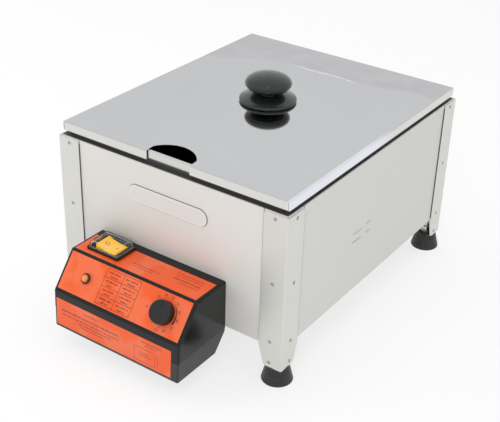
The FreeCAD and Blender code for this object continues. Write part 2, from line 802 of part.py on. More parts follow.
def make_pan():
    """Drawn pan: a well with drafted walls and a narrow rim, turned down to a skirt that stands on the lip."""
    body = new_body("pan")
    rim = rounded("pan_width", "pan_length", "pan_corner")
    pad(body, "XY", rim, PAN_SEAT, "pan_skirt")
    round_edges(body, "pan_sheet", lambda at, run: near(at.z, "pan_top"))
    inside = rounded("pan_width - 2 * pan_sheet", "pan_length - 2 * pan_sheet", "pan_corner - pan_sheet")
    pocket(body, "XY", inside, PAN_SEAT, "pan_skirt - pan_sheet", "+")
    well = new_body("pan_well")
    hollow = new_body("pan_hollow")
    for made, sheet in ((well, "0"), (hollow, "pan_sheet")):
        bottom = f"pan_top - pan_depth + {sheet}"
        inset = f"2 * (pan_wall_inset + {sheet})"
        wedge(made, f"pan_width - {inset}", f"pan_length - {inset}", "pan_draft", bottom,
              f"pan_top - pan_sheet / 2 + {sheet}")
        round_edges(made, f"pan_wall_corner - {sheet}", lambda at, run: abs(run.z) > 0.9)
        round_edges(made, f"pan_floor_edge - {sheet}", lambda at, run: near(at.z, bottom))
    keep("pan", minus("pan", together("pan_whole", [body, well]), [hollow]))


def crown_height(x, y):
    half_x = number("lid_width / 2 - lid_fold")
    half_y = number("lid_depth / 2 - lid_fold")
    return number("lid_top") + number("lid_crown") * (1 - (x / half_x) ** 2) * (1 - (y / half_y) ** 2)


def make_lid():
    """Loose lid: a slightly crowned plate with a folded skirt and a notch at the front for a ladle."""
    half_x, half_y = number("lid_width / 2"), number("lid_depth / 2")
    sheet, fold = number("lid_sheet"), number("lid_fold")
    top, bottom = number("lid_top"), number("lid_top - lid_skirt")
    flat_x, flat_y = half_x - fold, half_y - fold
    shares = [-1, -0.5, 0, 0.5, 1]
    grid = []
    for x in [share * flat_x for share in shares]:
        grid.append([Vector(x, share * flat_y, crown_height(x, share * flat_y)) for share in shares])
    surface = Part.BSplineSurface()
    surface.interpolate(grid)
    plate = surface.toShape().extrude(Vector(0, 0, -sheet))
    shell = Part.makeBox(2 * half_x, 2 * half_y, top - bottom, Vector(-half_x, -half_y, bottom))
    rims = [edge for edge in shell.Edges if abs(edge.CenterOfMass.z - top) < 0.01]
    shell = shell.makeFillet(fold, rims)
    hollow = Part.makeBox(2 * (half_x - sheet), 2 * (half_y - sheet), top - bottom,
                          Vector(sheet - half_x, sheet - half_y, bottom - sheet))
    window = Part.makeBox(2 * flat_x, 2 * flat_y, top - bottom + sheet, Vector(-flat_x, -flat_y, bottom))
    lid = shell.cut([hollow, window]).fuse(plate)
    left = number("notch_middle - notch_width / 2")
    right = number("notch_middle + notch_width / 2")
    front = -half_y
    side = front + number("notch_side")
    low = bottom - sheet
    start, first, last, finish = [Vector(x, y, low) for x, y in ((left, front - sheet), (left, side),
                                                                 (right, side), (right, front - sheet))]
    crest = Vector((left + right) / 2, front + number("notch_depth"), low)
    loop = Part.Wire([Part.LineSegment(start, first).toShape(),
                      Part.Arc(first, crest, last).toShape(),
                      Part.LineSegment(last, finish).toShape(),
                      Part.LineSegment(finish, start).toShape()])
    tall = number("lid_skirt + lid_crown + 3 * lid_sheet")
    notch = Part.Face(loop).extrude(Vector(0, 0, tall))
    hole = Part.makeCylinder(number("knob_screw_radius + bolt_play"), tall, Vector(0, 0, low))
    keep_shape("lid", lid.cut([notch, hole]).removeSplitter())


def make_knob():
    """Turned lid knob: a wide heat guard disc, a narrow neck and a flattened bulb."""
    body = new_body("lid_knob")
    low = "(knob_bulb_middle - knob_bulb_half)"
    high = "(knob_bulb_middle + knob_bulb_half)"
    shoulder = "(knob_disc_radius - knob_disc_edge / 2)"
    rim_via = ("knob_disc_radius", "knob_disc_edge / 2")
    top_via = ("knob_disc_radius * 0.72", "knob_disc_edge * 0.55 + knob_disc_rise * 0.45 + 0.6")
    neck_via = ("knob_neck_radius * 0.9", f"(knob_disc_rise + {low}) / 2 + 0.3")
    under_via = ("knob_bulb_radius * 0.82", "knob_bulb_middle - knob_bulb_half * 0.57")
    side_via = ("knob_bulb_radius * 0.92", "knob_bulb_middle + knob_bulb_half * 0.392")
    crown_via = ("knob_bulb_radius * 0.34", "knob_bulb_middle + knob_bulb_half * 0.94")
    spin(body, [("0", "insert_length"),
                ("insert_radius", "insert_length"),
                ("insert_radius", "0"),
                (shoulder, "0", rim_via),
                (shoulder, "knob_disc_edge", top_via),
                ("knob_neck_radius", "knob_disc_rise", neck_via),
                ("knob_neck_radius", f"{low} + 1.3", under_via),
                ("knob_bulb_radius", "knob_bulb_middle", side_via),
                ("knob_bulb_radius * 0.66", "knob_bulb_middle + knob_bulb_half * 0.751", crown_via),
                ("0.5", high),
                ("0", high)])
    keep("lid_knob", body)
    bind(body, "Placement.Base.z", LID_MIDDLE)
    under = f"({LID_MIDDLE} - lid_sheet - running_play)"
    sleeve = rod("insert", "insert_radius - running_play", "insert_length - running_play", "0", "0",
                 LID_MIDDLE)
    hole = rod("insert_hole", "knob_screw_radius + running_play", "2 * insert_length", "0", "0",
               f"{LID_MIDDLE} - insert_length / 2")
    keep("lid_knob_insert", minus("lid_knob_insert", sleeve, [hole]))
    disc = rod("washer", "knob_washer_radius", "washer_sheet", "0", "0", f"{under} - washer_sheet")
    hole = rod("washer_hole", "knob_screw_radius + bolt_play", "4 * washer_sheet", "0", "0",
               f"{under} - 2 * washer_sheet")
    keep("lid_knob_washer", minus("lid_knob_washer", disc, [hole]))
    head_top = f"({under} - washer_sheet)"
    head = rod("screw_head", "knob_screw_radius * 1.9", "knob_screw_radius", "0", "0",
               f"{head_top} - knob_screw_radius")
    reach_in = f"{LID_MIDDLE} + insert_length - knob_screw_short"
    shank = rod("screw_shank", "knob_screw_radius", f"{reach_in} - {head_top}", "0", "0", head_top)
    keep("lid_knob_screw", together("lid_knob_screw", [head, shank]))


# Control box


def boss_places():
    left = "(box_left + boss_inset)"
    right = f"({BOX_RIGHT} - boss_inset)"
    return [(x, reach(out)) for x in (left, right) for out in ("boss_rear_reach", "boss_front_reach")]


def stud_places():
    return [(x, height) for x in ("box_left + stud_inset", f"{BOX_RIGHT} - stud_inset")
            for height in ("stud_low", "stud_high")]


def make_housing():
    """Moulded upper housing: open below, with a back wall against the tank and four screw bosses."""
    body = new_body("box_housing")
    profile = [(FRONT_WALL, "box_top"),
               (FRONT_WALL, "box_seam"),
               (reach(front_reach("box_seam")), "box_seam"),
               (reach("box_slope_reach"), "box_slope_foot"),
               (reach("box_top_reach"), "box_top")]
    pad(body, "YZ", profile, "box_left", "box_length")
    ends = ("box_left", BOX_RIGHT)
    round_edges(body, "box_edge", lambda at, run: at.z > number("box_seam") + 0.1
                and at.y < number(FRONT_WALL) - 0.1
                and (any(near(at.x, end) for end in ends) or abs(run.x) > 0.9))
    inner = [(f"{FRONT_WALL} - box_wall", "box_top - box_wall"),
             (f"{FRONT_WALL} - box_wall", "box_seam - 1"),
             (reach(f"{front_reach('box_seam')}", "box_wall"), "box_seam - 1"),
             (reach("box_slope_reach", "box_wall"), f"box_slope_foot - box_wall * (1 - {DOWN}) / {ACROSS}"),
             (reach("box_top_reach", f"box_wall * (1 - {ACROSS}) / {DOWN}"), "box_top - box_wall")]
    pocket(body, "YZ", inner, "box_left + box_wall", "box_length - 2 * box_wall", "+")
    pieces = [body]
    cutters = []
    for x, y in boss_places():
        pieces.append(rod("boss", "boss_radius", "boss_height", x, y, "box_seam"))
        cutters.append(rod("pilot_bore", "tray_screw_radius + running_play", "boss_height - boss_end", x, y,
                           "box_seam - boss_end / 2"))
    play = "rocker_play"
    cutters.append(block("switch_hole", f"switch_length + {play}", f"switch_width + {play}", "3 * box_wall",
                         f"{SWITCH_X} - (switch_length + {play}) / 2",
                         reach(f"switch_reach + (switch_width + {play}) / 2"), "box_top - 2 * box_wall"))
    for x, down, radius in ((PILOT_X, "pilot_down", "pilot_thread_radius + bolt_play"),
                            (DIAL_X, "dial_down", "bush_radius + bolt_play")):
        cutters.append(rod("slope_hole", radius, "4 * box_wall", *slope_place(x, down, "0 - 2 * box_wall"),
                           slope_turn()))
    for x, height, radius in ((ELEMENT_LEFT, "element_height", "element_nut_flats / 2 + tool_room"),
                              (ELEMENT_RIGHT, "element_height", "element_nut_flats / 2 + tool_room"),
                              (DIAL_X, "sensor_height", "sensor_nut_flats / 2 + tool_room")):
        cutters.append(rod("back_hole", radius, "3 * box_wall", x, f"{FRONT_WALL} + box_wall", height, AHEAD))
    for x, height in stud_places():
        cutters.append(rod("stud_hole", "stud_radius + bolt_play", "3 * box_wall", x,
                           f"{FRONT_WALL} + box_wall", height, AHEAD))
    keep("box_housing", minus("box_housing", together("housing_shell", pieces), cutters))


def chamfer_axis():
    """The middle of the tray's rear chamfer and its outward direction, down and back under the tank."""
    run = number("box_chamfer_reach + post_sheet")
    rise = number("box_chamfer_top - box_bottom")
    out = Vector(0, rise, -run).normalize()
    y = (number(FRONT_WALL) + number(reach("box_chamfer_reach"))) / 2
    middle = Vector(number(CORD_X), y, number("(box_chamfer_top + box_bottom) / 2"))
    return middle, out


def make_tray():
    """Moulded lower tray: it closes the box from below and has a chamfer at the back for the cord."""
    body = new_body("box_tray")
    seam = "box_seam"
    profile = [(FRONT_WALL, seam),
               (FRONT_WALL, "box_chamfer_top"),
               (reach("box_chamfer_reach"), "box_bottom"),
               (reach("box_front_reach"), "box_bottom"),
               (reach(front_reach(seam)), seam)]
    left = "(box_left + tray_inset)"
    right = f"({BOX_RIGHT} - tray_inset)"
    pad(body, "YZ", profile, left, f"{right} - {left}")
    round_edges(body, "box_edge", lambda at, run: abs(run.z) > 0.9 and at.y < number(FRONT_WALL) - 0.1)
    round_edges(body, "tray_edge", lambda at, run: at.z < number(seam) - 0.1
                and at.y < number(FRONT_WALL) - 0.1 and abs(run.z) < 0.9
                and (near(at.x, left) or near(at.x, right) or near(at.y, reach("box_front_reach"))))
    floor = TRAY_FLOOR
    slant = "sqrt((box_chamfer_reach + post_sheet)^2 + (box_chamfer_top - box_bottom)^2)"
    ramp = f"(({slant} - (box_chamfer_reach + post_sheet)) / (box_chamfer_top - box_bottom))"
    ramp_foot = f"(({slant} - (box_chamfer_top - box_bottom)) / (box_chamfer_reach + post_sheet))"
    inner = [(f"{FRONT_WALL} - box_wall", "box_seam + 1"),
             (f"{FRONT_WALL} - box_wall", f"box_chamfer_top + box_wall * {ramp}"),
             (reach(f"box_chamfer_reach + box_wall * {ramp_foot}"), floor),
             (reach("box_front_reach", TRAY_WALL), floor),
             (reach(front_reach(seam), TRAY_WALL), "box_seam + 1")]
    pocket(body, "YZ", inner, f"box_left + {TRAY_WALL}", f"box_length - 2 * {TRAY_WALL}", "+")
    pieces = [body]
    start = "(boss_inset + boss_radius + 2)"
    gap = "(box_wall + tongue_gap)"
    pieces.append(block("tongue_front", f"box_length - 2 * {start}", "tongue_sheet", "tongue_height + 2",
                        f"box_left + {start}", reach(front_reach(seam), gap), "box_seam - 2"))
    side_length = "(boss_front_reach - boss_rear_reach - 2 * boss_radius - 4)"
    side_start = reach("boss_front_reach", "boss_radius + 2")
    for x in (f"box_left + {gap}", f"{BOX_RIGHT} - {gap} - tongue_sheet"):
        pieces.append(block("tongue_side", "tongue_sheet", side_length, "tongue_height + 2", x, side_start,
                            "box_seam - 2"))
    cutters = []
    for x, y in boss_places():
        pieces.append(rod("tray_boss", "boss_radius", f"box_seam - {floor} + box_wall / 2", x, y,
                          f"{floor} - box_wall / 2"))
        cutters.append(rod("screw_hole", "tray_screw_radius + bolt_play", "box_seam", x, y,
                           "box_bottom - box_wall / 2"))
        cutters.append(rod("screw_well", "tray_screw_head + running_play * 4", "3 * box_wall / 2", x, y,
                           "box_bottom - box_wall / 2"))
    middle, out = chamfer_axis()
    start = middle - out * (2 * number("box_wall"))
    cutters.append(rod("cord_hole", "cord_bush_radius + running_play", "4 * box_wall", *start,
                       FreeCAD.Rotation(UP, out)))
    keep("box_tray", minus("box_tray", together("tray_shell", pieces), cutters))


def make_box_fasteners():
    screws = []
    for x, y in boss_places():
        head = rod("screw_head", "tray_screw_head", "box_wall - tray_screw_sink", x, y,
                   "box_bottom + tray_screw_sink")
        shank = rod("screw_shank", "tray_screw_radius",
                    "box_seam + boss_height - tray_screw_short - box_bottom", x, y,
                    "box_bottom + 2 * tray_screw_sink")
        screws.append(together("tray_screw", [head, shank]))
    keep("tray_screws", apart("tray_screws", screws))
    studs, nuts = [], []
    for x, height in stud_places():
        studs.append(rod("stud", "stud_radius", "stud_length", x, FRONT_WALL, height, AHEAD))
        seat = f"{FRONT_WALL} - box_wall"
        blank = hexagon("stud_nut", "stud_nut_flats", "stud_nut_height", x, seat, height, AHEAD)
        hole = rod("stud_nut_hole", "stud_radius + running_play", "3 * stud_nut_height", x,
                   f"{seat} + stud_nut_height", height, AHEAD)
        nuts.append(minus("stud_nut", blank, [hole]))
    keep("box_studs", apart("box_studs", studs))
    keep("box_nuts", apart("box_nuts", nuts))


def make_labels():
    """Three printed films, on the top, the slope and the front of the box."""
    left = "(box_left + label_margin)"
    length = "(box_length - 2 * label_margin)"
    front = "(box_top_reach - label_margin / 2)"
    top = block("label", length, f"{front} - label_rear_margin", "label_sheet", left, reach(front), "box_top")
    hole = block("label_hole", "switch_length + 2 * label_play", "switch_width + 2 * label_play",
                 "4 * label_sheet", f"{SWITCH_X} - switch_length / 2 - label_play",
                 reach("switch_reach + switch_width / 2 + label_play"), "box_top - label_sheet")
    keep("label_top", minus("label_top", top, [hole]))
    foot = f"({SLOPE_LENGTH} - label_margin)"
    turn = slope_turn()
    sheet = block("label", length, f"{foot} - label_head_margin", "label_sheet",
                  *slope_place(left, foot, "0"), turn)
    holes = []
    for x, down, radius in ((PILOT_X, "pilot_down", "pilot_thread_radius + label_play"),
                            (DIAL_X, "dial_down", "bush_radius + label_play")):
        place = slope_place(x, down, "0 - label_sheet")
        holes.append(rod("label_hole", radius, "4 * label_sheet", *place, turn))
    keep("label_slope", minus("label_slope", sheet, holes))
    body = new_body("label_front")
    low, high = LABEL_LOW, "(box_slope_foot - label_front_margin)"
    pad(body, "YZ", [(reach(front_reach(low)), low),
                     (reach(front_reach(low) + " + label_sheet"), low),
                     (reach(front_reach(high) + " + label_sheet"), high),
                     (reach(front_reach(high)), high)], left,
        "box_length - label_margin - label_front_end")
    keep("label_front", body)


# Switch


def make_switch():
    """Rocker switch with a bezel, under a frame with a clear splash hood."""
    x, y = SWITCH_X, reach("switch_reach")
    middle = (x, y)
    body = new_body("switch_body")
    pad(body, "XY", rectangle("switch_length", "switch_width", middle), SWITCH_FOOT, "switch_depth")
    bezel_length = "switch_length + 2 * switch_bezel"
    bezel_width = "switch_width + 2 * switch_bezel"
    bezel = rounded(bezel_length, bezel_width, "switch_bezel", middle)
    pad(body, "XY", bezel, SWITCH_SEAT, "switch_bezel_height")
    well = rectangle("switch_length - 2 * switch_well_wall", "rocker_width + 2 * rocker_play", middle)
    pocket(body, "XY", well, f"{SWITCH_SEAT} + switch_bezel_height", "switch_bezel_height + switch_well")
    pivot = "(box_top - rocker_pivot_drop)"
    span = "(switch_width - 0.6)"
    hole = rod("pivot_hole", "pivot_radius + running_play", span, x, f"{y} + {span} / 2", pivot, AHEAD)
    keep("switch_body", minus("switch_body", body, [hole]))
    make_hood(middle, bezel_length, bezel_width)
    make_rocker(x, y, pivot)
    blades = []
    for side in (-1, 1):
        for end in (-1, 1):
            blades.append(block("blade", "blade_sheet", "blade_width", "blade_length",
                                f"{x} + {side} * blade_step_along - blade_sheet / 2",
                                f"{y} + {end} * blade_step_across - blade_width / 2",
                                f"{SWITCH_FOOT} - blade_length"))
    keep("switch_blades", apart("switch_blades", blades))


def make_hood(middle, bezel_length, bezel_width):
    """Frame round the bezel and the clear hood that stands on it, with sides that lean in twice."""
    frame = new_body("switch_frame")
    ring = blank_sketch(frame, "XY", SWITCH_SEAT)
    draw_loop(ring, rounded("frame_length", "frame_width", "frame_corner", middle))
    draw_loop(ring, rounded(f"{bezel_length} + 2 * frame_gap", f"{bezel_width} + 2 * frame_gap",
                            "switch_bezel", middle))
    draw_out(frame, "Pad", ring, "frame_height", "+")
    far_x = number(f"({bezel_length}) / 2 + frame_gap + 0.5")
    far_y = number(f"({bezel_width}) / 2 + frame_gap + 0.5")
    x, y = number(middle[0]), number(middle[1])
    round_edges(frame, "frame_edge", lambda at, run: near(at.z, f"{SWITCH_SEAT} + frame_height")
                and (abs(at.x - x) > far_x or abs(at.y - y) > far_y))
    keep("switch_frame", frame)
    hood = new_body("switch_hood")
    base = f"({SWITCH_SEAT} + frame_height)"
    for kind, sheet in (("AdditiveLoft", "0"), ("SubtractiveLoft", "hood_sheet")):
        corner = f"hood_corner - {sheet}"
        wide = rounded(f"hood_length - 2 * {sheet}", f"hood_width - 2 * {sheet}", corner, middle)
        waist = rounded(f"hood_length - 1.6 - 2 * {sheet}", f"hood_width - 1 - 2 * {sheet}", corner, middle)
        head = rounded(f"hood_top_length - 2 * {sheet}", f"hood_top_width - 2 * {sheet}", corner, middle)
        loft(hood, kind, [(wide, base), (waist, f"{base} + hood_height * 0.55 - {sheet} * 0.3"),
                          (head, f"{base} + hood_height - {sheet}")])
    keep("switch_hood", hood)


def make_rocker(x, y, pivot):
    """Rocker with two dished faces, stored with its left end up, on pivot pins that run along Y."""
    half, rise, dip = "rocker_length / 2", "rocker_rise", "rocker_dip"
    chin, belly = "0 - rocker_chin", "0 - rocker_belly"
    body = new_body("rocker")
    profile = [(f"0 - {half}", chin),
               (f"0 - {half} * 0.4", belly),
               (f"{half} * 0.4", belly),
               (half, chin),
               (half, rise, (f"{half} * 0.5", f"{rise} - {dip} * 0.85")),
               ("0", f"{rise} - {dip}", (f"0 - {half} * 0.5", f"{rise} - {dip} * 0.85")),
               (f"0 - {half}", rise)]
    pad(body, "XZ", profile, "rocker_width / 2", "rocker_width", "-")
    pins = rod("pivot_pins", "pivot_radius", "switch_width - 1", "0", "(switch_width - 1) / 2", "0", AHEAD)
    rocker = together("switch_rocker", [body, pins])
    keep("switch_rocker", rocker)
    tilt = FreeCAD.Rotation(Vector(0, 1, 0), number("rocker_tilt"))
    rocker.Placement = FreeCAD.Placement(Vector(0, 0, 0), tilt)
    bind(rocker, "Placement.Base.x", x)
    bind(rocker, "Placement.Base.y", f"{y} + {ORIGIN_STEP}")
    bind(rocker, "Placement.Base.z", pivot)


# Pilot lamp and thermostat


def on_slope(label, body, x, down, out):
    """Stand a turned body on the sloped face of the box and keep it."""
    keep(label, body)
    place = slope_place(x, down, out)
    body.Placement = FreeCAD.Placement(Vector(0, 0, 0), slope_turn())
    bind(body, "Placement.Base.x", place[0])
    bind(body, "Placement.Base.y", f"{place[1]} + {ORIGIN_STEP}")
    bind(body, "Placement.Base.z", place[2])


def make_pilot():
    lens = new_body("pilot_lens")
    crown = ("pilot_dome_radius * 0.75", "pilot_flange + (pilot_dome - pilot_flange) * 0.72")
    spin(lens, [("0", "0"),
                ("pilot_radius", "0"),
                ("pilot_radius", "pilot_flange * 0.6"),
                ("pilot_radius - pilot_flange * 0.5", "pilot_flange"),
                ("pilot_dome_radius", "pilot_flange", crown),
                ("0.4", "pilot_dome"),
                ("0", "pilot_dome")])
    on_slope("pilot_lens", lens, PILOT_X, "pilot_down", "label_sheet")
    place = slope_place(PILOT_X, "pilot_down", "label_sheet - pilot_depth")
    keep("pilot_body", rod("barrel", "pilot_thread_radius", "pilot_depth", *place, slope_turn()))
    place = slope_place(PILOT_X, "pilot_down", "0 - box_wall - pilot_nut_height")
    blank = hexagon("pilot_nut", "pilot_nut_flats", "pilot_nut_height", *place, slope_turn())
    place = slope_place(PILOT_X, "pilot_down", "0 - box_wall - 2 * pilot_nut_height")
    hole = rod("pilot_nut_hole", "pilot_thread_radius + running_play", "3 * pilot_nut_height", *place,
               slope_turn())
    keep("pilot_nut", minus("pilot_nut", blank, [hole]))


def make_thermostat():
    """Capillary thermostat: its bush is clamped in the slope by a nut, and two blades stand on its back."""
    body = new_body("thermostat_body")
    bore = "(shaft_radius + running_play)"
    under = "(0 - box_wall)"
    rear = THERMOSTAT_REAR
    waist = "(thermostat_radius - thermostat_cap_inset)"
    bush_top = "(label_sheet + bush_nut_height + bush_stand)"
    spin(body, [("0", rear),
                ("thermostat_radius - thermostat_bevel", rear),
                ("thermostat_radius", f"{rear} + thermostat_bevel"),
                ("thermostat_radius", f"{under} - thermostat_cap"),
                (waist, f"{under} - thermostat_cap + thermostat_cap_inset"),
                (waist, under),
                ("bush_radius", under),
                ("bush_radius", bush_top),
                (bore, bush_top),
                (bore, f"{rear} + thermostat_floor"),
                ("0", f"{rear} + thermostat_floor")])
    on_slope("thermostat_body", body, DIAL_X, "dial_down", "0")
    place = slope_place(DIAL_X, "dial_down", "label_sheet")
    blank = hexagon("bush_nut", "bush_nut_flats", "bush_nut_height", *place, slope_turn())
    place = slope_place(DIAL_X, "dial_down", "label_sheet - bush_nut_height")
    hole = rod("bush_nut_hole", "bush_radius + running_play", "3 * bush_nut_height", *place, slope_turn())
    keep("thermostat_nut", minus("thermostat_nut", blank, [hole]))
    blades = [block("blade", "blade_sheet", "blade_width", "blade_length",
                    *slope_place(f"{DIAL_X} + {side} * thermostat_blade_step - blade_sheet / 2",
                                 "dial_down + blade_width / 2", f"{rear} - blade_length"), slope_turn())
              for side in (-1, 1)]
    keep("thermostat_blades", apart("thermostat_blades", blades))
    shaft_foot = f"({rear} + thermostat_floor + shaft_end_gap)"
    shaft_top = "(dial_lift + dial_height - dial_web - running_play)"
    keep("thermostat_shaft", rod("shaft", "shaft_radius", f"{shaft_top} - {shaft_foot}",
                                 *slope_place(DIAL_X, "dial_down", shaft_foot), slope_turn()))
    make_dial(bore)
    make_sensor(rear)


def make_dial(bore):
    """Hollow dial on the shaft, with a dished top and a pointer groove that faces up the slope at rest."""
    knob = new_body("thermostat_knob")
    top = "(dial_lift + dial_height)"
    hub = "(shaft_radius + dial_hub_wall)"
    hub_foot = "(dial_lift + dial_hub_lift)"
    inner = "(dial_radius - dial_wall)"
    neck = "(dial_radius - dial_taper)"
    spin(knob, [("0", f"{top} - dial_web"),
                (bore, f"{top} - dial_web"),
                (bore, hub_foot),
                (hub, hub_foot),
                (hub, f"{hub_foot} + dial_hub_edge"),
                (inner, f"{hub_foot} + dial_hub_edge"),
                (inner, "dial_lift"),
                ("dial_radius", "dial_lift"),
                (neck, f"{top} - dial_edge", (DIAL_SIDE, DIAL_CROWN)),
                (f"{neck} - dial_edge", top),
                ("0", f"{top} - dial_dish")])
    groove = rectangle("groove_width", "dial_radius", ("0", "groove_start + dial_radius / 2"))
    pocket(knob, "XY", groove, top, "groove_depth")
    on_slope("thermostat_knob", knob, DIAL_X, "dial_down", "0")


def make_sensor(rear):
    """Capillary and bulb of the thermostat, in a closed pocket through the front wall into the bath."""
    x, y, z = DIAL_X, FRONT_WALL, "sensor_height"
    mouth = f"({y} - ferrule_reach)"
    bore = "(sensor_bulb_radius + seat_gap)"
    tip = f"({y} + sensor_length)"
    flange_radius = "sensor_radius + sensor_flange_width"
    outer = rod("pocket", "sensor_radius", f"{tip} - {mouth}", x, mouth, z, BACK)
    flange = rod("pocket_flange", flange_radius, "sensor_flange", x, f"{y} + tank_sheet + seal_sheet", z,
                 BACK)
    inner = rod("pocket_bore", bore, f"{tip} - {mouth}", x, f"{mouth} - sensor_tip", z, BACK)
    keep("sensor_pocket", minus("sensor_pocket", together("pocket_whole", [outer, flange]), [inner]))
    ring = rod("seal", flange_radius, "seal_sheet", x, f"{y} + tank_sheet", z, BACK)
    hole = rod("seal_hole", "sensor_radius + running_play", "3 * seal_sheet", x,
               f"{y} + tank_sheet - seal_sheet", z, BACK)
    keep("sensor_seal", minus("sensor_seal", ring, [hole]))
    blank = hexagon("sensor_nut", "sensor_nut_flats", "sensor_nut_height", x, y, z, AHEAD)
    hole = rod("sensor_nut_hole", "sensor_radius + running_play", "3 * sensor_nut_height", x,
               f"{y} + sensor_nut_height", z, AHEAD)
    keep("sensor_nut", minus("sensor_nut", blank, [hole]))
    bulb_start = f"({tip} - sensor_tip - seat_gap - sensor_bulb_length)"
    keep("thermostat_bulb", rod("bulb", "sensor_bulb_radius", "sensor_bulb_length", x, bulb_start, z, BACK))
    start = spot(*slope_place(x, "dial_down", rear))
    inward = slope_turn().multVec(UP) * -1
    turn_at = start + inward * ((number(z) - start.z) / inward.z)
    end = spot(x, bulb_start, z)
    keep_shape("thermostat_capillary", tube([start, turn_at, end], number("capillary_bend"),
                                            number("capillary_radius")))


# Heating element


def make_element():
    """Looped immersion heater: its two ends pass the front wall in sealed, nutted ferrules."""
    y, z = FRONT_WALL, "element_height"
    left, right, level = number(ELEMENT_LEFT), number(ELEMENT_RIGHT), number(z)
    bend = (right - left) / 2
    start = number(f"{y} - ferrule_reach - element_stand")
    end = number("element_end")
    mouth, turn, back = Vector(left, start, level), Vector(left, end, level), Vector(right, end, level)
    path = Part.Wire([Part.LineSegment(mouth, turn).toShape(),
                      Part.Arc(turn, Vector(left + bend, end + bend, level), back).toShape(),
                      Part.LineSegment(back, Vector(right, start, level)).toShape()])
    ring = Part.Wire([Part.Circle(mouth, Vector(0, 1, 0), number("element_radius")).toShape()])
    keep_shape("heating_element", path.makePipeShell([ring], True, False))
    ferrules, seals, nuts, pins = [], [], [], []
    for x in (ELEMENT_LEFT, ELEMENT_RIGHT):
        outer = rod("ferrule", "ferrule_radius",
                    "ferrule_reach + tank_sheet + seal_sheet + ferrule_flange + ferrule_inside", x,
                    f"{y} - ferrule_reach", z, BACK)
        flange = rod("ferrule_flange", "ferrule_flange_radius", "ferrule_flange", x,
                     f"{y} + tank_sheet + seal_sheet", z, BACK)
        hole = rod("ferrule_hole", "element_radius + running_play", "ferrule_reach * 4", x,
                   f"{y} - ferrule_reach * 2", z, BACK)
        ferrules.append(minus("ferrule", together("ferrule_whole", [outer, flange]), [hole]))
        ring = rod("seal", "ferrule_flange_radius", "seal_sheet", x, f"{y} + tank_sheet", z, BACK)
        hole = rod("seal_hole", "ferrule_radius + running_play", "3 * seal_sheet", x,
                   f"{y} + tank_sheet - seal_sheet", z, BACK)
        seals.append(minus("seal", ring, [hole]))
        blank = hexagon("element_nut", "element_nut_flats", "element_nut_height", x, y, z, AHEAD)
        hole = rod("element_nut_hole", "ferrule_radius + running_play", "3 * element_nut_height", x,
                   f"{y} + element_nut_height", z, AHEAD)
        nuts.append(minus("element_nut", blank, [hole]))
        pins.append(rod("pin", "pin_radius", "pin_length", x, f"{y} - ferrule_reach - element_stand", z,
                        AHEAD))
    keep("element_ferrules", apart("element_ferrules", ferrules))
    keep("element_seals", apart("element_seals", seals))
    keep("element_nuts", apart("element_nuts", nuts))
    keep("element_pins", apart("element_pins", pins))
    floor = "(tank_bottom + tank_sheet)"
    span = f"({ELEMENT_RIGHT} - {ELEMENT_LEFT} + 6 * element_radius)"
    x = f"{ELEMENT_LEFT} - 3 * element_radius"
    upright = block("upright", span, "support_sheet", f"{z} - {floor}", x, "support_place", floor)
    foot = block("support_foot", span, "support_foot", "support_sheet", x, "support_place", floor)
    cradles = [rod("cradle", "element_radius + running_play", "3 * support_sheet", side,
                   "support_place - support_sheet", z, BACK) for side in (ELEMENT_LEFT, ELEMENT_RIGHT)]
    keep("element_support", minus("element_support", together("support", [upright, foot]), cradles))


# Supply inlet, terminal block and wires


def pole_place(pole):
    """The X of one of the three poles of the terminal block."""
    return f"({BLOCK_LEFT} + block_length * {2 * pole + 1} / 6)"


def make_supply():
    """Terminal block on the tray's floor, and the bush by which the cord would come in."""
    case = block("case", "block_length", "block_width", "block_height", BLOCK_LEFT,
                 reach("block_reach + block_width"), TRAY_FLOOR)
    cutters, screws = [], []
    screw_foot = f"{TRAY_FLOOR} + block_height - block_screw_drop"
    for pole in range(3):
        x = pole_place(pole)
        y = reach("block_reach + block_width / 2")
        cutters.append(rod("entry", "block_entry_radius", "2 * block_width", x,
                           reach("block_reach - block_width / 2"), f"{TRAY_FLOOR} + block_entry_height", AHEAD))
        cutters.append(rod("screw_well", "block_screw_radius + running_play", "2 * block_screw_drop", x, y,
                           screw_foot))
        screws.append(rod("terminal_screw", "block_screw_radius", "block_screw_height", x, y, screw_foot))
    keep("terminal_block", minus("terminal_block", case, cutters))
    keep("terminal_screws", apart("terminal_screws", screws))
    body = new_body("cord_bush")
    inner_end = "(0 - box_wall - cord_bush_tail)"
    barb = "0 - box_wall - 2 * running_play"
    spin(body, [("cord_bore_radius", inner_end),
                ("cord_bush_radius", inner_end),
                ("cord_bush_radius + cord_bush_barb", barb),
                ("cord_bush_radius", barb),
                ("cord_bush_radius", "0"),
                ("cord_bush_flange_radius", "0"),
                ("cord_bush_flange_radius - cord_bush_barb", "cord_bush_flange"),
                ("cord_bore_radius", "cord_bush_flange")])
    keep("cord_bush", body)
    middle, out = chamfer_axis()
    body.setExpression("Placement.Base.y", None)
    body.Placement = FreeCAD.Placement(middle + Vector(0, number(ORIGIN_STEP), 0), FreeCAD.Rotation(UP, out))


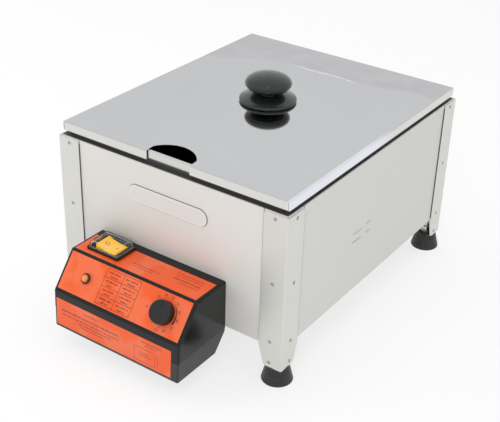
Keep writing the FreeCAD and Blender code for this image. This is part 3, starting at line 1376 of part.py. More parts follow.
def make_wires():
    """Insulated leads: supply to switch, switch to thermostat, thermostat to heater and heater to supply."""
    gap, lead, level = number("wire_gap"), number("wire_lead"), number("wire_level")
    blade_foot = number(f"{SWITCH_FOOT} - blade_length") - gap
    switch_x, switch_y = number(SWITCH_X), number(reach("switch_reach"))
    step_x, step_y = number("blade_step_along"), number("blade_step_across")
    block_front = number(reach("block_reach + block_width")) - gap
    entry_z = number(f"{TRAY_FLOOR} + block_entry_height")
    pin_y = number(f"{FRONT_WALL} - ferrule_reach - pin_length - element_stand") - gap
    pin_z = number("element_height")
    inward = slope_turn().multVec(UP) * -1

    def from_block(pole):
        x = number(pole_place(pole))
        return [Vector(x, block_front, entry_z), Vector(x, block_front - lead, entry_z),
                Vector(x, block_front - lead, level)]

    def to_pin(x):
        return [Vector(number(x), pin_y - lead, pin_z), Vector(number(x), pin_y, pin_z)]

    def from_thermostat(side):
        blade = spot(*slope_place(f"{DIAL_X} + {side} * thermostat_blade_step", "dial_down",
                                  f"{THERMOSTAT_REAR} - blade_length")) + inward * gap
        return [blade, blade + inward * lead]

    def to_switch(side, end):
        x, y = switch_x + side * step_x, switch_y + end * step_y
        return [Vector(x, y, level), Vector(x, y, blade_foot)]

    blade, lead_end = from_thermostat(1)
    to_thermostat = [Vector(lead_end.x, lead_end.y, level), lead_end, blade]
    runs = [from_block(0) + to_switch(-1, -1),
            from_block(1) + to_pin(ELEMENT_LEFT),
            to_switch(1, 1)[::-1] + to_thermostat,
            from_thermostat(-1) + to_pin(ELEMENT_RIGHT)]
    bend, radius = number("wire_bend"), number("wire_radius")
    keep_shape("wires", Part.makeCompound([tube(run, bend, radius) for run in runs]))


make_tank()
for corner, (side_x, side_y) in CORNERS.items():
    make_post(corner, side_x, side_y)
    make_bracket(corner, side_x, side_y)
    make_foot(corner, side_x, side_y)
make_foot_fasteners()
make_pan()
make_lid()
make_knob()
make_housing()
make_tray()
make_box_fasteners()
make_labels()
make_switch()
make_pilot()
make_thermostat()
make_element()
make_supply()
make_wires()
doc.recompute()

for item in doc.Objects:
    if "Invalid" in item.State or "Error" in item.State:
        raise RuntimeError(f"{item.Name} ({item.Label}) failed: {item.State}")
for label, piece in NODES.items():
    shape = piece.Shape
    if shape.isNull() or not shape.isValid() or not shape.Solids:
        raise RuntimeError(f"{label} has no valid shape")

os.makedirs("parts", exist_ok=True)
for label, piece in NODES.items():
    piece.Shape.exportStep(f"parts/{label}.step")
    print(f"{label}: {len(piece.Shape.Solids)} solid(s), {piece.Shape.Volume / 1000:.2f} cm3")
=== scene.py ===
"""Finishes, printed marks and small fittings of a countertop chocolate melter, and its studio."""

import json
import math
import random

import bmesh
import bpy
from mathutils import Matrix, Quaternion, Vector


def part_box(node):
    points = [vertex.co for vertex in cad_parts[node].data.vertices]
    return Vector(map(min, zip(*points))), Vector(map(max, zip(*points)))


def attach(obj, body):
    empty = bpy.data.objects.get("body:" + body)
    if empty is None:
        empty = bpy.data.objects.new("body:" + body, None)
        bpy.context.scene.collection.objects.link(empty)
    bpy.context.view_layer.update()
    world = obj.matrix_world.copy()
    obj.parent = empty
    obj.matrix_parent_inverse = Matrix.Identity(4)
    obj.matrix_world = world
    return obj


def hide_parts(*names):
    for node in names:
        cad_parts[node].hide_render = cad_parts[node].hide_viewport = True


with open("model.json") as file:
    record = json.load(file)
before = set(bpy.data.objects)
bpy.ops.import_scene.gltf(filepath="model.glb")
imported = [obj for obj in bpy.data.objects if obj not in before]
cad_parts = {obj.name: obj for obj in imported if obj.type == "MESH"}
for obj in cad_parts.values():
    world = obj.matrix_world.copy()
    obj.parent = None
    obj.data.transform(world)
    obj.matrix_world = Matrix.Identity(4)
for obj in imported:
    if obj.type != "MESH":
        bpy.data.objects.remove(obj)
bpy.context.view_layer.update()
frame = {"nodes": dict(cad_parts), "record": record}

MM = 0.001
SMOOTH_ANGLE = math.radians(32)
WHITE = (1.0, 1.0, 1.0)

# Where the machine's own parts stand, read from the frame
LID_LOW, LID_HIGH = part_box("lid")
KNOB_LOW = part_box("lid_knob")[0]
WALL_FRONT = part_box("box_housing")[1].y
POST_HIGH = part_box("post_front_left")[1]
BATH_LOW, BATH_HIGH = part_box("tank")
PAN_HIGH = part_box("pan")[1]
JOINTS = {joint["name"]: joint for joint in frame["record"]["behaviour"]["joints"]}
DIAL_JOINT, ROCKER_JOINT = JOINTS["dial_turn"], JOINTS["rocker_tilt"]
DIAL_PLACE = Vector(DIAL_JOINT["pos_m"])
MIDDLE_Y = (LID_LOW.y + LID_HIGH.y) / 2
BATH_SIDE, BATH_END = -BATH_LOW.x, BATH_HIGH.y - MIDDLE_Y
BOX_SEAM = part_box("box_housing")[0].z

# The pressed plate on the bath's front: middle, half length of its straight edges and radius of its ends
PLATE_MIDDLE, PLATE_LEVEL = 0.5 * MM, 155.5 * MM
PLATE_STRAIGHT, PLATE_RADIUS = 39.0 * MM, 9.5 * MM

# The lowest and highest water level on the bath's right side, and where their lines and words lie along it
LEVEL_LINES = (104.0 * MM, 114.0 * MM)
LINE_MIDDLE, LINE_HALF = -36.75 * MM, 8.2 * MM
WORD_MIDDLE, WORD_TALL = -14 * MM, 3.2 * MM

# Spot welds on the posts' flanges: how far in from the corner, and their heights
WELD_INSET, WELD_LEVELS = 14.5 * MM, (184.5 * MM, 115.0 * MM, 49.0 * MM, 24.5 * MM)

# How thick ink lies on a film, and how wide the strokes of the ruled tables are
PRINT = 0.03 * MM
TABLE_LINE, BOX_LINE = 0.42 * MM, 0.3 * MM

# Plain dial scale: lowest number, step, turn of the first one and between two, in degrees from uphill
SCALE_FIRST, SCALE_STEP, SCALE_COUNT = 30, 10, 9
SCALE_START, SCALE_TURN = math.radians(-44), math.radians(28)


class Value:
    """What one socket gives. The operators add Math nodes, so that a finish reads as a formula."""

    def __init__(self, nodes, socket):
        self.nodes = nodes
        self.socket = socket

    def out(self, name):
        return Value(self.nodes, self.socket.node.outputs[name])

    def maths(self, operation, *values):
        return self.nodes.add("ShaderNodeMath", {"operation": operation}, *values)

    def __add__(self, other):
        return self.maths("ADD", self, other)

    def __radd__(self, other):
        return self.maths("ADD", other, self)

    def __sub__(self, other):
        return self.maths("SUBTRACT", self, other)

    def __rsub__(self, other):
        return self.maths("SUBTRACT", other, self)

    def __mul__(self, other):
        return self.maths("MULTIPLY", self, other)

    def __rmul__(self, other):
        return self.maths("MULTIPLY", other, self)

    def __pow__(self, other):
        return self.maths("POWER", self, other)

    def __abs__(self):
        return self.maths("ABSOLUTE", self)

    def above(self, floor):
        return self.maths("MAXIMUM", self, floor)

    def clipped(self):
        return self.nodes.add("ShaderNodeClamp", {}, self)


class Nodes:
    """A node tree that is being built, for a finish or for a repeated fitting."""

    def __init__(self, tree):
        self.tree = tree

    def add(self, kind, settings, *values, **named):
        node = self.tree.nodes.new(kind)
        for name, setting in settings.items():
            if name == "stops":
                lay_stops(node.color_ramp, setting)
            else:
                setattr(node, name, setting)
        for index, value in enumerate(values):
            self.feed(node.inputs[index], value)
        for name, value in named.items():
            self.feed(node.inputs[name.replace("_", " ")], value)
        return Value(self, node.outputs[0]) if node.outputs else None

    def feed(self, socket, value):
        if isinstance(value, Value):
            self.tree.links.new(value.socket, socket)
        elif socket.type == "RGBA" and len(value) == 3:
            socket.default_value = (*value, 1.0)
        elif value is not None:
            socket.default_value = value


def lay_stops(ramp, stops):
    for index, (place, colour) in enumerate(stops):
        stop = ramp.elements[index] if index < 2 else ramp.elements.new(place)
        stop.position = place
        stop.color = (*colour, 1.0)


class Finish(Nodes):
    """A surface finish. Its patterns lie in the machine's own space, in metres."""

    def __init__(self, name):
        self.material = bpy.data.materials.new(name)
        self.material.use_nodes = True
        super().__init__(self.material.node_tree)
        self.tree.nodes.clear()
        self.exit = self.tree.nodes.new("ShaderNodeOutputMaterial")
        self.place = self.add("ShaderNodeTexCoord", {}).out("Object")

    def axes(self):
        """The three coordinates of the machine's own space, in metres."""
        x = self.add("ShaderNodeSeparateXYZ", {}, self.place)
        return x, x.out("Y"), x.out("Z")

    def from_axis(self, point, direction):
        """How far a place lies from a straight axis, in metres."""
        arm = self.add("ShaderNodeVectorMath", {"operation": "SUBTRACT"}, self.place, tuple(point))
        across = self.add("ShaderNodeVectorMath", {"operation": "CROSS_PRODUCT"}, arm, tuple(direction))
        return self.add("ShaderNodeVectorMath", {"operation": "LENGTH"}, across).out("Value")

    def line(self, distance, half, soft=0.25 * MM):
        """1 on a line of a half width, fading to 0 beside it, from the distance to its middle."""
        return 1 - self.between(abs(distance), half, half + soft)

    def stretched(self, scale, turn=(0, 0, 0)):
        return self.add("ShaderNodeMapping", {}, self.place, Scale=scale, Rotation=turn)

    def noise(self, size, detail=3.0, roughness=0.5, place=None):
        """Cloudy noise from 0 to 1, with blotches of about a size in metres."""
        return self.add("ShaderNodeTexNoise", {}, Vector=place or self.place, Scale=1 / size, Detail=detail,
                        Roughness=roughness)

    def between(self, value, low, high):
        """0 below the low value, 1 above the high one, smooth in between."""
        return self.add("ShaderNodeMapRange", {"interpolation_type": "SMOOTHSTEP"}, value, low, high)

    def blend(self, factor, first, second):
        node = self.tree.nodes.new("ShaderNodeMix")
        node.data_type = "RGBA"
        self.feed(node.inputs[0], factor)
        self.feed(node.inputs[6], first)
        self.feed(node.inputs[7], second)
        return Value(self, node.outputs[2])

    def bump(self, height, depth, base=None):
        """A surface that rises by a depth in metres where the height is 1."""
        return self.add("ShaderNodeBump", {}, Height=height, Distance=depth, Strength=1.0, Normal=base)

    def rounded_edges(self, radius):
        return self.add("ShaderNodeBevel", {"samples": 4}, Radius=radius)

    def edge_mask(self, radius):
        """1 within a radius of a sharp edge, 0 on the open faces."""
        soft = self.rounded_edges(radius)
        flat = self.add("ShaderNodeNewGeometry", {}).out("Normal")
        dot = self.add("ShaderNodeVectorMath", {"operation": "DOT_PRODUCT"}, soft, flat).out("Value")
        return self.between(1 - dot, 0.02, 0.22)

    def shader(self, **sockets):
        """One shader, with a value or a plain number for each of its sockets."""
        surface = self.add("ShaderNodeBsdfPrincipled", {})
        for name, value in sockets.items():
            self.feed(surface.socket.node.inputs[name.replace("_", " ")], value)
        return surface

    def end(self, surface):
        self.tree.links.new(surface.socket, self.exit.inputs["Surface"])
        return self.material

    def close(self, **sockets):
        return self.end(self.shader(**sockets))


# Steel


def polished_steel(name, tint, roughness, run):
    """Polished stainless sheet: fine grinding lines along one axis, cloudy smears and hairline scratches."""
    steel = Finish(name)
    across = tuple(1.0 if axis == run else 26.0 for axis in "xyz")
    grain = steel.noise(9 * MM, 4.0, 0.6, steel.stretched(across))
    clouds = steel.noise(70 * MM, 3.0, 0.55)
    prints = steel.between(steel.noise(26 * MM, 4.0, 0.62), 0.5, 0.72)
    thin = tuple(0.6 if axis == run else 40.0 for axis in "xyz")
    tilt = tuple(0.35 if axis == run else 0.1 for axis in "xyz")
    hair = steel.noise(14 * MM, 1.0, 0.4, steel.stretched(thin, tilt))
    scratch = steel.between(hair, 0.74, 0.78)
    shade = steel.blend(clouds * 0.5 + grain * 0.3, tint, tuple(part * 0.90 for part in tint))
    gloss = roughness + grain * 0.05 + prints * 0.05 + scratch * 0.12
    relief = steel.bump(grain + scratch * 0.7, 0.004 * MM)
    return steel.close(Base_Color=shade, Metallic=1.0, Roughness=gloss, Normal=relief)


def bath_steel(name):
    """The bath's walls: soft gloss ground up and down, dark level lines, and painted light and shade: a
    shadow and a highlight line round the pressed plate, a cooler right wall, shadow lines beside the posts
    and a near black mouth.
    """
    steel = Finish(name)
    x, y, z = steel.axes()
    depth = abs(y - MIDDLE_Y)
    grain = steel.noise(9 * MM, 4.0, 0.6, steel.stretched((26.0, 26.0, 1.0)))
    clouds = steel.noise(95 * MM, 3.0, 0.55)
    prints = steel.between(steel.noise(30 * MM, 4.0, 0.62), 0.5, 0.75)
    shade = steel.blend(clouds * 0.6 + grain * 0.25, (0.74, 0.725, 0.695), (0.67, 0.66, 0.635))
    shade = steel.blend(prints * 0.14, shade, (0.80, 0.80, 0.79))
    # Painted light: the right wall is tinted a cooler, more neutral grey than the front, standing in for the
    # different light on it.
    right_side_light_tint = steel.between(x, BATH_SIDE - 1.8 * MM, BATH_SIDE - 0.8 * MM)
    shade = steel.blend(right_side_light_tint * 0.6, shade, (0.72, 0.72, 0.71))
    beyond = (abs(x - PLATE_MIDDLE) - PLATE_STRAIGHT).above(0.0)
    rise = z - PLATE_LEVEL
    rim = (beyond * beyond + rise * rise) ** 0.5 - PLATE_RADIUS
    on_front = 1 - steel.between(y, WALL_FRONT + 0.5 * MM, WALL_FRONT + 1.5 * MM)
    rim_shadow = steel.line(rim, 0.25 * MM) * on_front
    rim_light = steel.line(rim + 1.3 * MM, 0.15 * MM, 0.5 * MM) * on_front
    shade = steel.blend(rim_shadow * 0.75, shade, (0.16, 0.155, 0.15))
    shade = steel.blend(rim_light * 0.5, shade, (0.92, 0.92, 0.90))
    facing_ends = steel.between(depth, BATH_END - 1.6 * MM, BATH_END - 0.8 * MM)
    facing_sides = steel.between(abs(x), BATH_SIDE - 1.8 * MM, BATH_SIDE - 0.8 * MM)
    # Painted shadow: a dark line on the walls beside each post's flange end, where the flange shades the
    # wall.
    front_joint_shadow = steel.line(abs(x) + POST_HIGH.x, 0.35 * MM, 0.5 * MM) * facing_ends
    side_joint_shadow = steel.line(depth + POST_HIGH.y - MIDDLE_Y, 0.35 * MM, 0.5 * MM) * facing_sides
    shade = steel.blend((front_joint_shadow + side_joint_shadow) * 0.7, shade, (0.10, 0.10, 0.10))
    on_right = steel.between(x, BATH_SIDE - 0.8 * MM, BATH_SIDE - 0.2 * MM)
    along_line = steel.line(y - MIDDLE_Y - LINE_MIDDLE, LINE_HALF)
    for level in LEVEL_LINES:
        on_line = steel.line(z - level, 0.3 * MM) * along_line * on_right
        shade = steel.blend(on_line * 0.7, shade, (0.20, 0.20, 0.20))
    inside = 1 - steel.between(abs(x), BATH_SIDE - 1.5 * MM, BATH_SIDE - 1.2 * MM)
    inside = inside * (1 - steel.between(depth, BATH_END - 1.5 * MM, BATH_END - 1.2 * MM))
    # Painted shade: the lip's top inside its outer edge is painted near black and not metal, for the dark gap
    # under the lid.
    mouth_shade = steel.between(z, BATH_HIGH.z - 1.0 * MM, BATH_HIGH.z - 0.6 * MM) * inside
    shade = steel.blend(mouth_shade * 0.95, shade, (0.02, 0.02, 0.02))
    relief = steel.bump(grain, 0.006 * MM, steel.bump(clouds, 0.12 * MM))
    gloss = 0.5 + grain * 0.08 + prints * 0.05
    return steel.close(Base_Color=shade, Metallic=0.12 - mouth_shade * 0.12, Roughness=gloss, Normal=relief)


def pan_steel(name):
    """The pan's sheet, ground along its length, with a near black band of painted shade round its skirt's
    lower edge, for the dark gap under the lid.
    """
    steel = Finish(name)
    x, y, z = steel.axes()
    grain = steel.noise(9 * MM, 4.0, 0.6, steel.stretched((26.0, 1.0, 26.0)))
    clouds = steel.noise(60 * MM, 3.0, 0.55)
    shade = steel.blend(clouds * 0.5 + grain * 0.3, (0.70, 0.695, 0.68), (0.62, 0.615, 0.60))
    side, pan_end = PAN_HIGH.x, PAN_HIGH.y - MIDDLE_Y
    on_sides = steel.between(abs(x), side - 3 * MM, side - 2 * MM)
    on_ends = steel.between(abs(y - MIDDLE_Y), pan_end - 3 * MM, pan_end - 2 * MM)
    # Painted shade: the skirt below the lid's lower edge is painted near black, rough and not metal, standing
    # in for the gap's shade.
    gap_shade = (on_sides + on_ends).clipped() * (1 - steel.between(z, LID_LOW.z, LID_LOW.z + 2.5 * MM))
    shade = steel.blend(gap_shade * 0.96, shade, (0.02, 0.02, 0.02))
    gloss = 0.22 + grain * 0.05 + gap_shade * 0.4
    return steel.close(Base_Color=shade, Metallic=1.0 - gap_shade * 0.9, Roughness=gloss,
                       Normal=steel.bump(grain, 0.004 * MM))


def post_steel(name):
    """The corner posts' sheet: a painted highlight at the bend and edges, and painted shade on the flanges'
    cut ends.
    """
    steel = Finish(name)
    x, y, z = steel.axes()
    depth = abs(y - MIDDLE_Y)
    grain = steel.noise(9 * MM, 4.0, 0.6, steel.stretched((26.0, 26.0, 1.0)))
    clouds = steel.noise(45 * MM, 3.0, 0.55)
    # Painted highlight: the sheet is lighter within 0.8 mm of the bend and edges.
    edge = steel.edge_mask(0.8 * MM)
    shade = steel.blend(clouds * 0.45 + grain * 0.3, (0.74, 0.735, 0.70), (0.66, 0.655, 0.625))
    shade = steel.blend(edge * 0.5, shade, (0.93, 0.93, 0.92))
    # Painted shade: the flanges' cut ends above the foot are painted near black, for the shadow gap beside
    # them.
    front_end = 1 - steel.between(abs(x) + POST_HIGH.x, 0.1 * MM, 0.4 * MM)
    side_end = 1 - steel.between(depth + POST_HIGH.y - MIDDLE_Y, 0.1 * MM, 0.4 * MM)
    above_foot = steel.between(z, 46 * MM, 48 * MM)
    cut_end_shade = (front_end + side_end).clipped() * above_foot
    shade = steel.blend(cut_end_shade * 0.85, shade, (0.035, 0.035, 0.035))
    return steel.close(Base_Color=shade, Metallic=0.8, Roughness=0.34 + grain * 0.07 + clouds * 0.06,
                       Normal=steel.bump(grain, 0.004 * MM))


def lid_steel(name):
    """The lid's bright sheet: nearly a mirror, with slow waves, smears and a soft fold, a painted glint along
    the fold, a duller rear band painted darker as a reflection, and a painted bluish reflection strip along
    the right edge.
    """
    steel = Finish(name)
    x, y, z = steel.axes()
    grain = steel.noise(9 * MM, 3.0, 0.6, steel.stretched((26.0, 1.0, 26.0)))
    clouds = steel.noise(110 * MM, 2.0, 0.5)
    smears = steel.between(steel.noise(34 * MM, 4.0, 0.62), 0.52, 0.74)
    wander = steel.noise(30 * MM, 4.0, 0.55) * (14 * MM)
    fold = y - (MIDDLE_Y + 95 * MM) - wander
    fold += (1 - steel.between(x, -130 * MM, -62 * MM)) * (34 * MM)
    fold = fold - steel.between(x, 64 * MM, 104 * MM) * (17 * MM)
    on_top = steel.between(z, LID_HIGH.z - 5 * MM, LID_HIGH.z - 4 * MM)
    # The rear band behind the fold is a real crease, raised in the bump and duller, and painted darker in its
    # colour as a dark reflection.
    rear_crease_and_shade = steel.between(fold, -8 * MM, 9 * MM) * on_top
    patchy = steel.between(steel.noise(38 * MM, 4.0, 0.6), 0.36, 0.64)
    shade = steel.blend(clouds * 0.7 + grain * 0.1, (0.635, 0.64, 0.64), (0.575, 0.575, 0.58))
    shade = steel.blend(rear_crease_and_shade * (0.35 + patchy * 0.5), shade, (0.535, 0.525, 0.545))
    glint = steel.line(fold - 2 * MM, 0.3 * MM, 3.0 * MM) * steel.between(x, -60 * MM, -10 * MM) * on_top
    glint = glint * (1 - steel.between(x, 50 * MM, 85 * MM)) * patchy
    shade = steel.blend(glint * 0.7, shade, (0.90, 0.90, 0.90))
    skirt = 1 - steel.between(z, LID_HIGH.z - 5.5 * MM, LID_HIGH.z - 4.5 * MM)
    shade = steel.blend(skirt * 0.8, shade, (0.74, 0.735, 0.70))
    # Painted reflection: a bluish white strip along the right edge over the front part of the lid.
    right = steel.between(x, LID_HIGH.x - 3.5 * MM, LID_HIGH.x - 1.0 * MM)
    right = right * (1 - steel.between(y + wander * 3, MIDDLE_Y - 10 * MM, MIDDLE_Y + 60 * MM))
    shade = steel.blend(right * 0.85, shade, (0.84, 0.855, 0.93))
    seam = steel.line(abs(x) - (LID_HIGH.x - 1.4 * MM), 0.2 * MM) * skirt
    shade = steel.blend(seam * 0.75, shade, (0.12, 0.12, 0.12))
    relief = steel.bump(grain, 0.0015 * MM, steel.bump(clouds, 0.25 * MM, steel.bump(rear_crease_and_shade, 0.35 * MM)))
    gloss = 0.055 + smears * 0.03 + rear_crease_and_shade * 0.06 + skirt * 0.22
    return steel.close(Base_Color=shade, Metallic=1.0, Roughness=gloss, Normal=relief)


def plain_metal(name, tint, dark, roughness, size=4 * MM):
    """Turned or pressed small metal parts: mottled plating, duller where it is handled."""
    metal = Finish(name)
    mottle = metal.noise(size, 4.0, 0.6)
    worn = metal.between(metal.noise(size * 2.5, 3.0, 0.6), 0.48, 0.62)
    shade = metal.blend(mottle * 0.6, tint, dark)
    return metal.close(Base_Color=shade, Metallic=1.0, Roughness=roughness + mottle * 0.1 + worn * 0.08,
                       Normal=metal.bump(mottle, 0.01 * MM))


def heated_metal(name):
    """The heater's sheath: straw and blue heat tint over dull steel."""
    metal = Finish(name)
    band = metal.noise(30 * MM, 4.0, 0.6)
    steel, straw, blue = (0.42, 0.40, 0.37), (0.46, 0.33, 0.18), (0.23, 0.24, 0.33)
    tint = metal.add("ShaderNodeValToRGB", {"stops": [(0.3, steel), (0.52, straw), (0.7, blue)]}, band)
    scale = metal.noise(2 * MM, 4.0, 0.7)
    return metal.close(Base_Color=tint, Metallic=1.0, Roughness=0.32 + scale * 0.2,
                       Normal=metal.bump(scale, 0.02 * MM))


# Plastics and rubber


def gloss_black(name, tint, rubbed, roughness, coat, grain=0.35 * MM, parted=None):
    """Black moulded plastic: orange-peel skin, dust, rubbed edges and perhaps a parting line, with the part
    below that line painted lighter as a reflection of the floor.
    """
    plastic = Finish(name)
    peel = plastic.noise(grain, 2.0, 0.5)
    clouds = plastic.noise(30 * MM, 4.0, 0.6)
    dust = plastic.between(plastic.noise(11 * MM, 5.0, 0.7), 0.5, 0.75)
    rub = plastic.edge_mask(0.7 * MM)
    shade = plastic.blend(clouds * 0.5 + dust * 0.2, tint, rubbed)
    shade = plastic.blend(rub * 0.35, shade, tuple(min(part * 2.2, 1.0) for part in rubbed))
    if parted is not None:
        height = plastic.axes()[2]
        # Painted reflection: below the parting line the plastic is painted lighter, standing in for the
        # floor's light on the tray's sides.
        below = 1 - plastic.between(height, parted - 1.2 * MM, parted)
        shade = plastic.blend(below * 0.9, shade, (0.036, 0.040, 0.040))
        shade = plastic.blend(plastic.line(height - parted, 0.5 * MM, 0.3 * MM), shade, (0.0, 0.0, 0.0))
    gloss = roughness + dust * 0.06 + rub * 0.06
    relief = plastic.bump(peel, 0.004 * MM, plastic.rounded_edges(0.42 * MM))
    return plastic.close(Base_Color=shade, Roughness=gloss, Specular_IOR_Level=0.3, Coat_Roughness=0.08,
                         Coat_Weight=coat - dust * (coat * 0.3), Normal=relief)


def matte_plastic(name, tint, pale, roughness=0.5):
    plastic = Finish(name)
    grain = plastic.noise(0.6 * MM, 2.0, 0.5)
    clouds = plastic.noise(14 * MM, 3.0, 0.55)
    shade = plastic.blend(clouds * 0.6 + grain * 0.2, tint, pale)
    return plastic.close(Base_Color=shade, Roughness=roughness + grain * 0.12,
                         Normal=plastic.bump(grain, 0.012 * MM))


def foot_rubber(name):
    """Moulded rubber: a dull gloss, with a pale bloom and scuffs towards the floor."""
    rubber = Finish(name)
    grain = rubber.noise(0.8 * MM, 3.0, 0.6)
    bloom = rubber.between(rubber.noise(7 * MM, 4.0, 0.65), 0.45, 0.7)
    low = 1 - rubber.between(rubber.axes()[2], 1 * MM, 5 * MM)
    shade = rubber.blend(bloom * 0.4 + low * 0.3, (0.010, 0.011, 0.010), (0.04, 0.042, 0.04))
    return rubber.close(Base_Color=shade, Roughness=0.36 + grain * 0.12 + low * 0.15,
                        Normal=rubber.bump(grain, 0.02 * MM))


def print_film(name):
    """Orange printed film under a clear gloss skin: faded in patches, with a faint ripple from the glue."""
    film = Finish(name)
    faded = film.between(film.noise(42 * MM, 2.0, 0.45), 0.46, 0.56)
    ink = film.noise(24 * MM, 3.0, 0.5)
    grain = film.noise(0.5 * MM, 2.0, 0.5)
    ripple = film.noise(17 * MM, 2.0, 0.5)
    shade = film.blend(ink * 0.6, (0.85, 0.100, 0.006), (0.76, 0.070, 0.010))
    shade = film.blend(faded * 0.42, shade, (0.82, 0.21, 0.10))
    shade = film.blend(grain * 0.12, shade, (0.86, 0.17, 0.03))
    relief = film.bump(ripple, 0.10 * MM)
    return film.close(Base_Color=shade, Roughness=0.32 + grain * 0.08, Coat_Weight=0.3, Coat_Roughness=0.06,
                      Specular_IOR_Level=0.4, Normal=relief)


def print_ink(name, tint):
    ink = Finish(name)
    grain = ink.noise(0.7 * MM, 3.0, 0.6)
    return ink.close(Base_Color=ink.blend(grain * 0.5, tint, tuple(part + 0.02 for part in tint)),
                     Roughness=0.4 + grain * 0.1)


def heat_ink(name):
    """The dial scale's hot band: brown red where it starts, almost black at its lower, hottest end."""
    ink = Finish(name)
    grain = ink.noise(0.7 * MM, 3.0, 0.6)
    deep = 1 - ink.between(ink.axes()[2], DIAL_PLACE.z - 11 * MM, DIAL_PLACE.z + 6 * MM)
    shade = ink.blend(deep, (0.36, 0.07, 0.04), (0.05, 0.008, 0.008))
    shade = ink.blend(grain * 0.3, shade, (0.30, 0.05, 0.03))
    return ink.close(Base_Color=shade, Roughness=0.4 + grain * 0.1)


def clear_hood(name):
    """Clear soft plastic, a little hazy and scuffed where fingers press it, its edges mixed into a pale
    plastic as a painted highlight.
    """
    hood = Finish(name)
    haze = hood.between(hood.noise(6 * MM, 4.0, 0.6), 0.4, 0.75)
    # Painted highlight: near the edges the clear plastic is mixed into an opaque pale one.
    rim = hood.edge_mask(1.2 * MM)
    skin = hood.bump(haze, 0.02 * MM)
    clear = hood.shader(Base_Color=(0.97, 0.98, 0.98), Roughness=0.03 + haze * 0.06, Transmission_Weight=1.0,
                        IOR=1.15, Normal=skin)
    pale_edge_highlight = hood.shader(Base_Color=(0.72, 0.73, 0.73), Roughness=0.16 + haze * 0.1, Normal=skin)
    return hood.end(hood.add("ShaderNodeMixShader", {}, rim * 0.75 + haze * 0.05, clear, pale_edge_highlight))


def lit_plastic(name, tint, deep, painted_glow):
    """See-through coloured plastic: cloudy shades of its colour with faint ribs, and a painted glow through
    its emission.
    """
    plastic = Finish(name)
    clouds = plastic.noise(6 * MM, 3.0, 0.5)
    ribs = plastic.add("ShaderNodeTexWave", {"bands_direction": "Y"}, plastic.place, Scale=420.0)
    shade = plastic.blend(clouds * 0.6 + ribs * 0.12, tint, deep)
    # Painted glow: the plastic emits its own colour, so it shows brighter than the lamps make it.
    return plastic.close(Base_Color=shade, Roughness=0.18 + clouds * 0.08, Coat_Weight=0.6,
                         Coat_Roughness=0.05, Subsurface_Weight=0.25, Subsurface_Scale=1.0,
                         Subsurface_Radius=(0.004, 0.002, 0.0005),
                         Emission_Color=shade, Emission_Strength=painted_glow)


def lamp_lens(name, point, direction):
    """The pilot lamp's amber cap: bright over the lamp, with a ring of painted shade where dome and flange
    meet.
    """
    lens = Finish(name)
    clouds = lens.noise(4 * MM, 3.0, 0.5)
    reach = lens.from_axis(point, direction)
    shade = lens.blend(lens.between(reach, 0.8 * MM, 3.8 * MM), (0.93, 0.30, 0.02), (0.74, 0.13, 0.012))
    # Painted shade: a near black ring where the dome meets the flange.
    shade = lens.blend(lens.line(reach - 4.8 * MM, 0.9 * MM, 0.4 * MM), shade, (0.04, 0.006, 0.004))
    return lens.close(Base_Color=shade, Roughness=0.16 + clouds * 0.08, Coat_Weight=0.6, Coat_Roughness=0.05,
                      Subsurface_Weight=0.2, Subsurface_Radius=(0.003, 0.0015, 0.0005),
                      Subsurface_Scale=1.0, Emission_Color=shade, Emission_Strength=0.08)


def wire_cover(name):
    wire = Finish(name)
    grain = wire.noise(1.5 * MM, 3.0, 0.5)
    shade = wire.blend(grain, (0.02, 0.03, 0.18), (0.03, 0.05, 0.26))
    return wire.close(Base_Color=shade, Roughness=0.34 + grain * 0.1, Normal=wire.bump(grain, 0.02 * MM))


class Face:
    """The flat outer face of one of the printed films, with its own directions along, up and out."""

    def __init__(self, node, looking):
        sides = frame["nodes"][node].data.polygons
        widest = max(sides, key=lambda side: side.area * side.normal.dot(Vector(looking)))
        self.out = widest.normal.copy()
        self.point = widest.center.copy()
        self.along = Vector((1, 0, 0))
        self.up = self.out.cross(self.along)

    def on(self, place):
        """The point on the face nearest to a place."""
        place = Vector(place)
        return place + self.out * self.out.dot(self.point - place)


SLOPE = Face("label_slope", (0, -1, 1))
TOP = Face("label_top", (0, 0, 1))
FRONT = Face("label_front", (0, -1, 0))
LAMP_LOW, LAMP_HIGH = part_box("pilot_lens")
LAMP_PLACE = SLOPE.on((LAMP_LOW + LAMP_HIGH) / 2)

